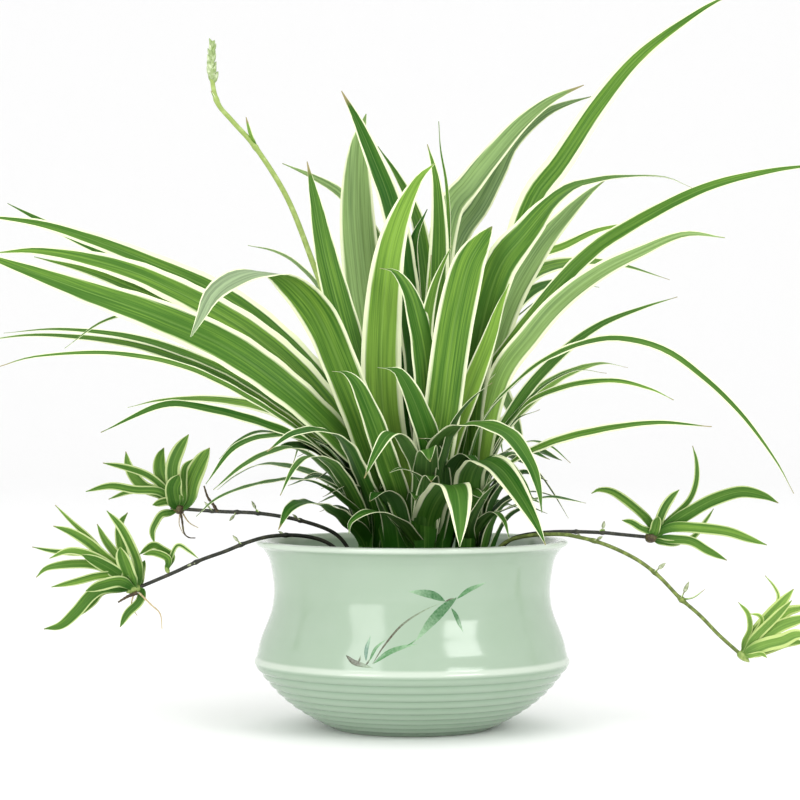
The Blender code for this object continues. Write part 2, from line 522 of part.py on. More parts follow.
def blade(curve, width, turns, fold=BLADE_FOLD, heading=None, full=2.4, shape=None,
          base_ratio=0.32, least=3, facing=False):
    """Make one closed blade along a curve, channelled like a shallow V.

    The width grows over the first quarter and holds. Past a third of the length it falls by
    the power full of the share of the way to the tip. Each ring is right edge, top, left edge,
    bottom.
    """
    points, tangents, places = stations(curve, STEP_LENGTH, STEP_TURN, least)
    if heading is not None:
        heading = math.radians(heading)
    elif not facing:
        reach = curve[-1] - curve[0]
        heading = math.atan2(reach[1], reach[0])
    sides, faces = blade_frames(tangents, places, turns, heading)
    taper = 1 - np.clip((places - TAPER_START) / (1 - TAPER_START), 0, 1) ** full
    if shape:
        ratio = np.interp(places, np.linspace(0, 1, len(shape)), shape)
    else:
        ratio = (base_ratio + (1 - base_ratio) * np.clip(places / 0.25, 0, 1)) * taper
    half = np.maximum(width * ratio, TIP_WIDTH)[:, None] / 2
    thick = (TIP_THICKNESS + (BLADE_THICKNESS - TIP_THICKNESS) * taper)[:, None] / 2
    angle = np.radians(np.interp(places, (0, 0.3, 1), (BASE_FOLD if fold < BASE_FOLD else fold,
                                                      fold, 0.5 * fold)))[:, None]
    edge_out = half * np.cos(angle) * sides
    edge_up = half * np.sin(angle) * faces
    rings = np.stack([points + edge_out + edge_up, points + thick * faces,
                      points - edge_out + edge_up, points - thick * faces], axis=1)
    count = len(points)
    triangles = [(0, 3, 1), (1, 3, 2)]
    for station in range(count - 1):
        near = 4 * station
        far = near + 4
        for a, b in ((0, 1), (1, 2)):
            triangles += [(near + a, near + b, far + b), (near + a, far + b, far + a)]
        for a, b in ((2, 3), (3, 0)):
            triangles += [(near + a, near + b, far + a), (near + b, far + b, far + a)]
    last = 4 * (count - 1)
    triangles += [(last, last + 1, last + 3), (last + 1, last + 2, last + 3)]
    return rings.reshape(-1, 3), triangles


def tube(curve, radius, end_ratio=1.0):
    """Make a closed tube along a curve, on level sides square to its direction."""
    points, tangents, places = stations(curve, STEM_STEP, STEM_TURN, 6)
    reach = curve[-1] - curve[0]
    heading = math.atan2(reach[1], reach[0])
    sides, faces = blade_frames(tangents, places, (0, 0), heading)
    radii = (radius * (1 + (end_ratio - 1) * places))[:, None]
    angles = [2 * math.pi * step / STEM_SIDES for step in range(STEM_SIDES)]
    rings = np.stack([points + radii * (math.cos(a) * sides + math.sin(a) * faces) for a in angles],
                     axis=1)
    count = len(points)
    quads = [tuple(reversed(range(STEM_SIDES)))]
    for station in range(count - 1):
        near = STEM_SIDES * station
        far = near + STEM_SIDES
        for step in range(STEM_SIDES):
            after = (step + 1) % STEM_SIDES
            quads.append((near + step, near + after, far + after, far + step))
    last = STEM_SIDES * (count - 1)
    quads.append(tuple(range(last, last + STEM_SIDES)))
    return rings.reshape(-1, 3), quads


def pot_outside():
    """Return the outer profile, foot to rim: ribbed bowl, sharp shoulder, waist and lip."""
    profile = [(0.0, 0.0), (FOOT_RADIUS, 0.0)]
    start_radius = FOOT_RADIUS + 2 * FOOT_BEVEL
    for rib in range(RIB_COUNT):
        for part, depth in ((0.0, RIB_DEPTH), (0.5, 0.0)):
            t = (rib + part) / RIB_COUNT
            bulge = BOWL_BULGE * math.sin(math.pi * t)
            radius = start_radius + t * (SHOULDER_RADIUS - start_radius) + 0.7 * bulge - depth
            height = FOOT_BEVEL + t * (SHOULDER_HEIGHT - 2 * FOOT_BEVEL) - 0.7 * bulge
            profile.append((radius, height))
    profile += [
        (SHOULDER_RADIUS - 0.6 * MM, SHOULDER_HEIGHT - 1.2 * MM),
        (SHOULDER_RADIUS, SHOULDER_HEIGHT),
        (SHOULDER_RADIUS - 0.9 * MM, SHOULDER_HEIGHT + 2.2 * MM),
    ]
    waist = [(79.6, 45), (75.5, 55.5), (72.8, 66), (72.3, 72), (72.8, 79), (74.4, 87), (78.0, 93.4)]
    profile += [(radius * MM, height * MM) for radius, height in waist]
    profile += [(RIM_RADIUS, POT_HEIGHT - 2 * MM), (RIM_RADIUS - 0.6 * MM, POT_HEIGHT - 0.4 * MM),
                (RIM_RADIUS - 2.2 * MM, POT_HEIGHT)]
    return profile


def pot_inside(inset=0.0):
    """Return the inner profile, rim to floor, drawn in by an inset."""
    wall = [(75.6, 97), (73.0, 93), (69.4, 87), (67.3, 74), (70.5, 55.5), (76.5, 37),
            (74.5, 32.5), (56.0, 14.5), (40.0, 8.0)]
    profile = [(radius * MM - inset, height * MM + inset * (height < 20)) for radius, height in wall]
    profile.append((0.0, FLOOR_THICKNESS + inset))
    return profile


def make_pot():
    """Turn the pot from its outer and inner profiles."""
    pot = turned("pot", pot_outside() + pot_inside(), POT_SEGMENTS, "glaze")
    pot.data.shade_smooth()
    pot.data.set_sharp_from_angle(angle=math.radians(35))
    return pot


def stem_hole(place, radius, floor, sides):
    """Make the cutter of one plain hole in the soil, with its flats clear of a round stem."""
    reach = (radius + HOLE_PLAY) / math.cos(math.pi / sides)
    profile = [(0.0, floor), (reach, floor), (reach, SOIL_TOP + 10 * MM), (0.0, SOIL_TOP + 10 * MM)]
    cutter = turned("hole", profile, sides, "potting soil", (place[0], place[1], 0.0))
    cutter.hide_render = True
    cutter.display_type = "WIRE"
    return cutter


def make_soil():
    """Fill the pot's inside to the soil line and cut the holes that the stems stand in."""
    inside = [point for point in reversed(pot_inside(GAP)) if point[1] < SOIL_TOP]
    profile = inside + [(SOIL_RADIUS - GAP, SOIL_TOP), (0.0, SOIL_TOP + SOIL_MOUND)]
    soil = turned("soil", profile, POT_SEGMENTS, "potting soil")
    cutters = [stem_hole((x * MM, y * MM), CROWN_RADIUS, CROWN_HOLE_FLOOR, CROWN_SIDES)
               for x, y in CROWN_PLACES.values()]
    for route in RUNNERS.values():
        cutters.append(stem_hole(place_point(route[0]), RUNNER_RADIUS, STEM_HOLE_FLOOR, STEM_SIDES))
    cutters.append(stem_hole(place_point(FLOWER_STALK[0]), STALK_RADIUS, STEM_HOLE_FLOOR, STEM_SIDES))
    return combine(soil, cutters, "DIFFERENCE")


def rear_fan():
    """Draw the leaves that arch to the rear, from a seeded rule."""
    draw = random.Random(SEED)
    leaves = []
    for index in range(REAR_FAN_COUNT):
        share = (index + draw.uniform(0.2, 0.8)) / REAR_FAN_COUNT
        heading = math.radians(REAR_FAN_HEADINGS[0] + share * (REAR_FAN_HEADINGS[1] - REAR_FAN_HEADINGS[0]))
        length = draw.uniform(*REAR_FAN_LENGTHS)
        width = draw.uniform(*REAR_FAN_WIDTHS)
        lift = draw.uniform(0.75, 1.12)
        x, y = CROWN_PLACES["back"]
        route = [(x + out * length * math.cos(heading), y + out * length * math.sin(heading),
                  LEAF_START / MM + up * length * lift)
                 for out, up in zip(REAR_FAN_OUT, REAR_FAN_UP)]
        leaves.append(Leaf(width, (0, draw.uniform(-15, 15), draw.uniform(-25, 25)), route))
    return leaves


def make_rosette(name, leaves):
    """Fuse a rosette's leaves to the short crown that they grow from."""
    x, y = (value * MM for value in CROWN_PLACES[name])
    profile = [(0.0, CROWN_FOOT), (0.8 * CROWN_RADIUS, CROWN_FOOT), (CROWN_RADIUS, SOIL_TOP - 4 * MM),
               (CROWN_RADIUS, LEAF_START + 6 * MM), (0.75 * CROWN_RADIUS, CROWN_TOP - 9 * MM),
               (0.35 * CROWN_RADIUS, CROWN_TOP - 2 * MM), (0.0, CROWN_TOP)]
    crown = turned("rosette_" + name, profile, CROWN_SIDES, "leaf", (x, y, 0.0))
    blades = []
    for leaf in leaves:
        route = np.array([place_point(point) for point in leaf.route])
        away = route[0, :2] - (x, y)
        away *= LEAF_ROOT_RADIUS / max(np.linalg.norm(away), LEAF_ROOT_RADIUS)
        route = np.vstack([[(x + away[0], y + away[1], LEAF_START)], route])
        vertices, faces = blade(smooth_route(route), leaf.width * MM, leaf.turns, leaf.fold,
                                leaf.heading, leaf.full, leaf.shape)
        blades.append(new_object("blade", vertices, faces, "leaf"))
    return combine(crown, blades, "UNION")


def scale_blade(curve, scale):
    """Make a small scale or bract that stands out of a stem."""
    share, length, width, direction = scale
    root = curve[round(share * (len(curve) - 1))]
    ray = np.array(direction, float)
    ray *= length * MM / np.linalg.norm(ray)
    bend = np.array((0, 0, 0.12 * length * MM))
    route = np.vstack([root, root + 0.5 * ray - bend, root + ray])
    vertices, faces = blade(smooth_route(route, 6), width * MM, (0, 0), base_ratio=0.7, least=2)
    return new_object("scale", vertices, faces, "leaf")


def runner_curve(name):
    """Return a runner's curve and the direction of its end, cut off where its knot begins."""
    curve = smooth_route(np.array([place_point(point) for point in RUNNERS[name]]))
    crown = curve[-1]
    reach = KNOT_BACK * KNOT_RADIUS + GAP
    curve = curve[np.linalg.norm(curve - crown, axis=1) > reach + RUNNER_RADIUS]
    direction = crown - curve[-1]
    direction /= np.linalg.norm(direction)
    return np.vstack([curve, crown - reach * direction]), direction


def knot_seat(name):
    """Return the middle of a plantlet's knot and its axis, which runs square from its stem."""
    if name in RUNNERS:
        curve, axis = runner_curve(name)
        return curve[-1] + (KNOT_BACK * KNOT_RADIUS + GAP) * axis, axis
    runner, share = SIDE_SEATS[name]
    curve = runner_curve(runner)[0]
    step = round(share * (len(curve) - 1))
    along = curve[step + 1] - curve[step - 1]
    along /= np.linalg.norm(along)
    axis = np.array((0.0, 0.0, 1.0)) - along[2] * along
    axis /= np.linalg.norm(axis)
    return curve[step] + (RUNNER_RADIUS + GAP + KNOT_BACK * SMALL_KNOT_RADIUS) * axis, axis


def make_runner(name, material):
    """Make a runner and its scales, ending just short of its plantlet's knot."""
    curve = runner_curve(name)[0]
    vertices, faces = tube(curve, RUNNER_RADIUS, 0.9)
    stem = new_object("runner_" + name, vertices, faces, material)
    return combine(stem, [scale_blade(curve, scale) for scale in STEM_SCALES[name]], "UNION")


def make_flower_stalk():
    """Make the flower stalk with its bracts and the spike of closed buds at its end."""
    curve = smooth_route(np.array([place_point(point) for point in FLOWER_STALK]))
    vertices, faces = tube(curve, STALK_RADIUS, 0.6)
    stalk = new_object("flower_stalk", vertices, faces, "young leaf")
    scales = list(STALK_BRACTS)
    first, last = STALK_BUD_SPAN
    for index in range(STALK_BUD_COUNT):
        angle = index * math.radians(137.5)
        share = first + (last - first) * index / (STALK_BUD_COUNT - 1)
        scales.append((share, STALK_BUD_LENGTH / MM, STALK_BUD_WIDTH / MM,
                       (0.5 * math.cos(angle), 0.5 * math.sin(angle), 1)))
    return combine(stalk, [scale_blade(curve, scale) for scale in scales], "UNION")


def make_plantlet(name):
    """Fuse a plantlet's small leaves to its knot, whose flat back faces the stem."""
    radius, leaves = PLANTLETS[name]
    centre, axis = knot_seat(name)
    profile = [(0.0, -KNOT_BACK * radius), (0.7 * radius, -KNOT_BACK * radius), (radius, 0.0),
               (0.6 * radius, 0.8 * radius), (0.0, radius)]
    material = "young leaf" if name == "right_lower" else "leaf"
    knot = turned("plantlet_" + name, profile, KNOT_SIDES, material, centre)
    knot.rotation_mode = "QUATERNION"
    knot.rotation_quaternion = Vector(axis).to_track_quat("Z", "Y")
    blades = []
    for index, (width, behind, route) in enumerate(leaves):
        depths = np.linspace(0, behind, len(route) + 1)[1:] + centre[1] / MM
        points = [place_point((x, depth, z)) for (x, z), depth in zip(route, depths)]
        root = centre + 0.6 * radius * (points[0] - centre) / np.linalg.norm(points[0] - centre)
        turn = PLANTLET_TURNS[index % len(PLANTLET_TURNS)]
        vertices, faces = blade(smooth_route(np.vstack([root, points]), 8), width * MM, (turn, turn),
                                base_ratio=0.4, least=2, facing=True)
        blades.append(new_object("blade", vertices, faces, material))
    return combine(knot, blades, "UNION")


def main():
    """Build every piece and hang it on one empty at the origin."""
    clear_scene()
    pieces = [make_pot(), make_soil()]
    pieces.append(make_rosette("left", LEFT_LEAVES))
    pieces.append(make_rosette("front", FRONT_LEAVES))
    pieces.append(make_rosette("right", RIGHT_LEAVES))
    pieces.append(make_rosette("back", BACK_LEAVES + rear_fan()))
    pieces.append(make_flower_stalk())
    for name in RUNNERS:
        pieces.append(make_runner(name, "green runner" if name == "right_lower" else "dark runner"))
    for name in PLANTLETS:
        pieces.append(make_plantlet(name))
    holder = bpy.data.objects.new("potted_plant", None)
    bpy.context.scene.collection.objects.link(holder)
    for piece in pieces:
        piece.parent = holder


main()
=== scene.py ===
"""Potted variegated spider plant: the finish of every surface, its stage, light and camera."""

import math
import random
from collections import namedtuple

import bpy
import numpy as np
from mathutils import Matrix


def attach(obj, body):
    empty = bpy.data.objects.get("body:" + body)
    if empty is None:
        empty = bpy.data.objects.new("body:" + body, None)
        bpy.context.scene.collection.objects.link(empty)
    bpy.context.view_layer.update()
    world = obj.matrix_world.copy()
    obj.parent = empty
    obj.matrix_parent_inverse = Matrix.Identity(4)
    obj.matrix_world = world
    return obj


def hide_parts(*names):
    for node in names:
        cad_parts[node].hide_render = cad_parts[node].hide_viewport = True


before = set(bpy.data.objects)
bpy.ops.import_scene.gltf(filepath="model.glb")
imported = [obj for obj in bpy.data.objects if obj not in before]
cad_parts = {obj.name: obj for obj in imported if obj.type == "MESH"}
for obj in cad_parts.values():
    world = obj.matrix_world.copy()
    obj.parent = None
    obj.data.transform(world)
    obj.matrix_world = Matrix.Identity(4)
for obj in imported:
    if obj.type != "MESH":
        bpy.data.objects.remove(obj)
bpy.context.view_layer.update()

bl_info = {
    "name": "Potted spider plant",
    "version": (1, 0, 0),
    "blender": (4, 5, 0),
    "location": "View3D > Sidebar > Spider plant",
    "description": "Builds a variegated spider plant in a ribbed celadon bowl",
    "category": "Object",
}

MM = 0.001

# The eye of the front view in which the routes are drawn, in millimetres, its focal length in
# pixels of a frame of this width, and the width of its sensor
EYE = np.array((-6.3, -1310.0, 171.0))
FRAME_WIDTH = 800.0
FOCAL_PIXELS = 2500.0
SENSOR_WIDTH = 36.0

# Where each rosette's crown stands, seen from above, in millimetres
CROWN_PLACES = {
    "left": (-21.0, -3.0),
    "front": (5.0, -12.0),
    "right": (31.0, 0.0),
    "back": (6.0, 17.0),
}
# A crown: the heights where its leaves start in the soil and where they leave it, how far from
# its middle they stand there, and the radii and heights of the core that they clasp
CROWN_FOOT = 80.0
LEAF_START = 93.0
LEAF_ROOT_RADIUS = 6.5
CORE_RADII = (6.5, 7.5, 7.5, 6.5, 5.0, 2.5, 0.5)
CORE_HEIGHTS = (78, 84, 92, 100, 108, 114, 117)

# A blade: the slope of its halves in degrees, its fullness, where its base has widened and its
# taper starts as places from 0 to 1, its least width, the rounding of its keel, the droop of its
# edges, and the length of its ripples
BLADE_FOLD = 18.0
BLADE_FULLNESS = 2.4
BASE_END = 0.25
TAPER_START = 0.35
LEAST_WIDTH = 0.5
KEEL_ROUNDING = 0.03
EDGE_DROOP = 0.16
RIPPLE_LENGTH = 22.0
# How grey an underside is: hidden below its leaf, turned to the eye, and on a leaf bent right over
GREY_HIDDEN = 0.2
GREY_TURNED = 0.75
GREY_BENT = 1.5

# A leaf: its width in millimetres, the degrees by which its upper face is turned to the front
# at even places along it, how bright its green is, the share of its width that each cream
# margin takes, and its route from the crown to the tip in millimetres, x and z as drawn on the
# front view and y the depth. Then come its fold, its heading, the way in degrees that its blade
# lies level across, if that isn't the way to its tip, its fullness, greater where it tapers
# late, and its shape, shares of its width at even places along it, where no fullness fits.
Leaf = namedtuple("Leaf", "width turns tone margin route fold heading fullness shape",
                  defaults=(BLADE_FOLD, None, BLADE_FULLNESS, None))

LEFT_LEAVES = [
    Leaf(15, (10, 60, 60), 0.45, 0.26, [
        (-22, -6, 134), (-48, -10, 181), (-90, -12, 220), (-137, -8, 243), (-190, 0, 262),
        (-230, 6, 268)]),
    Leaf(19, (10, 65, 60), 0.55, 0.24, [
        (-18, -10, 124), (-48, -22, 172), (-85, -28, 206), (-132, -30, 232), (-163, -26, 243),
        (-195, -20, 249), (-220, -15, 248)]),
    Leaf(22, (10, 70, 60), 0.48, 0.16, [
        (-24, -20, 129), (-48, -38, 160), (-90, -48, 194), (-132, -48, 214), (-174, -40, 229),
        (-216, -28, 244), (-232, -24, 249)]),
    Leaf(17, (10, 50, 50), 0.55, 0.2, [
        (-22, 2, 128), (-52, 4, 170), (-88, 4, 201), (-116, 2, 217), (-140, 0, 227), (-168, -2, 238),
        (-198, -4, 246)]),
    Leaf(8, (10, 40, 40), 0.5, 0.2, [
        (-20, 8, 113), (-38, 20, 142), (-80, 46, 176), (-116, 64, 194), (-148, 78, 204),
        (-185, 88, 208), (-214, 92, 206)]),
    Leaf(8, (10, 40, 40), 0.5, 0.2, [
        (-27, -4, 118), (-48, -8, 147), (-90, -14, 177), (-122, -16, 192), (-153, -16, 201),
        (-195, -12, 205), (-226, -8, 202)]),
    Leaf(7, (10, 40, 40), 0.45, 0.2, [
        (-22, -12, 108), (-38, -28, 134), (-64, -48, 158), (-111, -78, 185), (-153, -98, 195),
        (-195, -110, 194), (-218, -112, 188)]),
    Leaf(7, (10, 40, 40), 0.5, 0.2, [
        (-24, -10, 130), (-60, -24, 178), (-105, -32, 206), (-140, -32, 216), (-162, -30, 212),
        (-182, -28, 198)]),
    Leaf(8, (10, 50, 50), 0.7, 0.24, [
        (-22, 10, 113), (-43, 36, 145), (-69, 70, 164), (-101, 110, 171), (-130, 142, 171),
        (-149, 158, 167)]),
    Leaf(8, (10, 50, 50), 0.3, 0.14, [
        (-20, -10, 103), (-32, -24, 124), (-53, -46, 147), (-80, -74, 159), (-111, -104, 167),
        (-132, -124, 168), (-163, -150, 154)]),
    Leaf(9, (0, 20, 10), 0.3, 0.12, [
        (-27, -14, 113), (-40, -30, 135), (-57, -52, 149), (-74, -76, 152), (-93, -100, 146),
        (-108, -118, 127)]),
    Leaf(8, (0, 20, 10), 0.3, 0.12, [
        (-25, -4, 116), (-45, -16, 146), (-69, -30, 153), (-81, -38, 154), (-92, -46, 149),
        (-101, -52, 140)]),
    Leaf(8, (0, 10, 10), 0.3, 0.1, [
        (-25, -18, 108), (-42, -46, 132), (-60, -76, 145), (-73, -98, 144), (-88, -122, 137),
        (-104, -142, 124)]),
    Leaf(6, (0, 20, 10), 0.3, 0.1, [
        (-30, 6, 116), (-45, 24, 129), (-64, 52, 136), (-80, 78, 137), (-93, 104, 131),
        (-102, 124, 124)]),
    Leaf(7, (0, 10, 0), 0.3, 0.1, [
        (-22, -14, 103), (-38, -34, 120), (-56, -60, 129), (-80, -94, 127), (-101, -124, 120),
        (-113, -142, 110)]),
    Leaf(12, (0, 20, 20), 0.25, 0.14, [
        (-20, -22, 112), (-28, -48, 134), (-36, -72, 149), (-48, -98, 155), (-63, -122, 153),
        (-76, -138, 144)]),
    Leaf(14, (0, 40, 30), 0.12, 0.1, [
        (-30, -10, 118), (-42, -26, 136), (-53, -44, 145), (-64, -58, 147), (-74, -70, 143)]),
    Leaf(9, (0, 0, 0), 0.35, 0.12, [
        (-30, -30, 118), (-42, -62, 137), (-54, -94, 141), (-62, -114, 135), (-69, -128, 121)]),
    Leaf(15, (0, 10, 10), 0.12, 0.08, [
        (-30, -20, 103), (-44, -46, 114), (-55, -72, 117), (-64, -92, 114), (-70, -104, 103)]),
]

FRONT_LEAVES = [
    Leaf(19, (10, 60, 100, 115, 115, 150, 235, 244), 0.6, 0.12, [
        (-12, -26, 112), (-20, -33, 138), (-29, -39, 166), (-38, -44, 190), (-48, -58, 213),
        (-58, -72, 227), (-69, -82, 236), (-82, -90, 238), (-95, -95, 234), (-105, -98, 226),
        (-111, -100, 214),
        (-116, -102, 204)], shape=(0.45, 0.6, 0.8, 0.95, 1, 1, 1, 0.9, 0.65, 0.5, 0.03)),
    Leaf(21, (20, 70, 70), 0.5, 0.08, [
        (-6, -12, 110), (-13, -12, 134), (-25, -12, 171), (-36, -12, 210), (-45, -10, 245),
        (-51, -6, 276), (-55, -4, 296)], fold=44),
    Leaf(14, (0, 0, 0), 0.4, 0.1, [
        (-5, -24, 112), (-10, -34, 128), (-15, -42, 142), (-19, -47, 155), (-24, -51, 168),
        (-29, -54, 179), (-35, -55, 185), (-42, -54, 186)], heading=125, fullness=4),
    Leaf(22, (0, 0, 0), 0.8, 0.16, [
        (-2, -14, 105), (-9, -16, 129), (-15, -18, 165), (-16, -19, 200), (-13, -19, 240),
        (-7, -18, 265), (3, -16, 286), (12, -14, 295)], heading=90, fullness=2.8),
    Leaf(11, (0, 0, 0), 0.65, 0.2, [
        (6, -20, 120), (6, -24, 165), (7, -26, 205), (11, -28, 228), (17, -29, 244),
        (21, -30, 252)], heading=90),
    Leaf(20, (0, 0, 0), 0.55, 0.11, [
        (8, -20, 118), (15, -28, 160), (19, -32, 190), (23, -34, 215), (29, -36, 240), (35, -37, 252),
        (42, -38, 262)], heading=90, fullness=9),
    Leaf(16, (0, 10, 10), 0.35, 0.1, [
        (9, -22, 112), (12, -36, 138), (20, -52, 154), (34, -68, 158), (50, -86, 153), (61, -98, 139),
        (66, -104, 126), (68, -106, 112)]),
    Leaf(18, (0, 0, 0), 0.35, 0.2, [
        (10, -34, 112), (18, -58, 125), (23, -78, 124), (25, -94, 112), (25, -102, 94)], fullness=3.4),
    Leaf(12, (0, 10, 10), 0.3, 0.12, [
        (8, -24, 118), (2, -42, 137), (-6, -58, 151), (-12, -68, 153), (-19, -78, 143),
        (-25, -86, 130)]),
    Leaf(15, (0, 0, 0), 0.3, 0.08, [
        (10, -24, 118), (11, -34, 134), (9, -39, 147), (5, -43, 160), (0, -46, 173), (-6, -49, 184),
        (-11, -50, 187), (-18, -49, 188)], heading=125, fullness=4),
    Leaf(12, (0, 10, 10), 0.25, 0.1, [
        (-4, -34, 104), (-14, -52, 111), (-24, -62, 112), (-32, -68, 107), (-33, -70, 101)]),
    Leaf(14, (0, 0, 0), 0.2, 0.08, [(7, -30, 108), (9, -46, 126), (10, -58, 131), (10, -70, 128)]),
    Leaf(9, (0, 20, 20), 0.25, 0.1, [(11, -30, 116), (4, -46, 130), (-5, -56, 135), (-12, -62, 133)]),
    Leaf(14, (0, 0, 0), 0.15, 0.08, [(14, -26, 118), (14, -38, 138), (10, -46, 149), (3, -50, 151)]),
    Leaf(19, (0, 0, 0), 0.45, 0.1, [
        (8, -22, 122), (9, -26, 155), (7, -28, 190), (3, -29, 212), (-2, -30, 228), (-9, -31, 238),
        (-17, -31, 240)], heading=120, fullness=3),
    Leaf(10, (0, 20, 20), 0.15, 0.06, [
        (13, -30, 118), (17, -42, 140), (23, -50, 160), (32, -56, 172), (42, -60, 180)]),
    Leaf(12, (0, 0, 0), 0.85, 0.1, [
        (13, -18, 120), (20, -22, 150), (30, -24, 176), (40, -26, 202), (46, -28, 220),
        (51, -29, 232)], heading=90, fullness=3),
]

RIGHT_LEAVES = [
    Leaf(16, (10, 80, 85), 0.5, 0.26, [
        (28, 4, 120), (34, 10, 170), (48, 14, 225), (62, 16, 273), (78, 16, 296), (98, 14, 326),
        (120, 12, 352), (151, 8, 375), (172, 6, 386)]),
    Leaf(20, (10, 80, 95, 95, 25, 0), 0.5, 0.14, [
        (28, -6, 125), (30, -12, 171), (36, -18, 207), (46, -24, 240), (60, -30, 258), (78, -36, 278),
        (98, -42, 286), (130, -48, 288), (147, -50, 282)], fullness=3),
    Leaf(18, (-70, -85, -85), 0.75, 0.16, [
        (34, 4, 140), (40, 6, 190), (50, 6, 222), (66, 5, 250), (80, 2, 267), (92, -2, 279),
        (101, -4, 286)], fullness=3),
    Leaf(10, (10, 65, 60), 0.5, 0.12, [
        (24, -4, 120), (30, -10, 168), (46, -16, 192), (67, -22, 219), (88, -26, 243),
        (109, -28, 259), (151, -28, 281), (188, -22, 291), (222, -16, 295)]),
    Leaf(9, (10, 50, 50), 0.7, 0.2, [
        (32, 8, 140), (36, 18, 197), (46, 32, 232), (60, 50, 245), (78, 68, 251), (98, 86, 260),
        (124, 104, 265)]),
    Leaf(13, (-60, -75, -70), 0.85, 0.2, [
        (34, -8, 130), (45, -18, 180), (62, -26, 205), (78, -32, 223), (98, -38, 238),
        (120, -42, 249), (143, -44, 258), (164, -44, 256)]),
    Leaf(11, (10, 50, 45), 0.55, 0.18, [
        (34, 12, 150), (44, 32, 210), (60, 60, 235), (83, 96, 243), (108, 128, 242),
        (135, 154, 234)]),
    Leaf(9, (10, 50, 45), 0.3, 0.14, [
        (36, 18, 150), (46, 44, 205), (60, 74, 226), (78, 108, 233), (98, 138, 230)]),
    Leaf(4, (10, 20, 20), 0.3, 0.1, [(32, 6, 150), (44, 12, 202), (58, 16, 217), (72, 18, 228)]),
    Leaf(7, (10, 50, 45), 0.4, 0.16, [
        (36, 14, 130), (56, 38, 170), (78, 62, 195), (98, 80, 210), (120, 98, 219), (139, 110, 225)]),
    Leaf(8, (10, 35, 25), 0.4, 0.24, [
        (26, -14, 115), (36, -30, 157), (57, -48, 182), (78, -62, 196), (104, -74, 203),
        (130, -82, 198), (151, -88, 184), (172, -92, 164), (190, -92, 140), (200, -90, 122)]),
    Leaf(9, (0, 30, 20), 0.7, 0.15, [
        (32, 10, 118), (45, 30, 152), (62, 58, 171), (78, 88, 183), (98, 124, 190), (113, 150, 188)]),
    Leaf(4, (0, 20, 20), 0.3, 0.1, [(40, 4, 140), (62, 10, 172), (84, 14, 186), (102, 16, 185)]),
    Leaf(7, (10, 45, 45), 0.5, 0.2, [
        (36, -12, 125), (56, -34, 164), (78, -58, 177), (104, -84, 181), (124, -102, 177),
        (137, -112, 171)]),
    Leaf(8, (10, 50, 50), 0.5, 0.24, [
        (32, -14, 114), (50, -42, 136), (72, -70, 148), (98, -100, 155), (128, -128, 159),
        (157, -150, 157)]),
    Leaf(4, (0, 20, 20), 0.3, 0.1, [(38, 4, 130), (52, 8, 158), (67, 12, 166)]),
    Leaf(6, (0, 10, 10), 0.3, 0.1, [
        (36, -4, 120), (48, -14, 142), (60, -24, 149), (72, -32, 147), (83, -38, 138)]),
    Leaf(18, (0, 10, 10), 0.3, 0.18, [
        (30, -18, 110), (31, -40, 130), (37, -62, 139), (47, -80, 134), (57, -94, 120),
        (65, -102, 106), (70, -108, 95)]),
    Leaf(11, (0, 20, 20), 0.15, 0.1, [
        (30, -8, 115), (36, -24, 138), (48, -38, 138), (58, -48, 128), (63, -54, 120)]),
    Leaf(8, (0, 10, 10), 0.3, 0.1, [
        (34, 2, 120), (50, 8, 142), (64, 14, 135), (74, 18, 122), (82, 22, 109)]),
    Leaf(7, (0, 20, 10), 0.15, 0.1, [
        (34, -12, 100), (42, -30, 110), (56, -54, 116), (72, -80, 120), (91, -108, 117)]),
    Leaf(6, (0, 0, 0), 0.4, 0.1, [(34, -20, 104), (42, -40, 112), (48, -52, 108), (51, -58, 98)]),
    Leaf(8, (0, 20, 20), 0.2, 0.1, [(30, -26, 104), (38, -48, 120), (46, -62, 129)]),
]

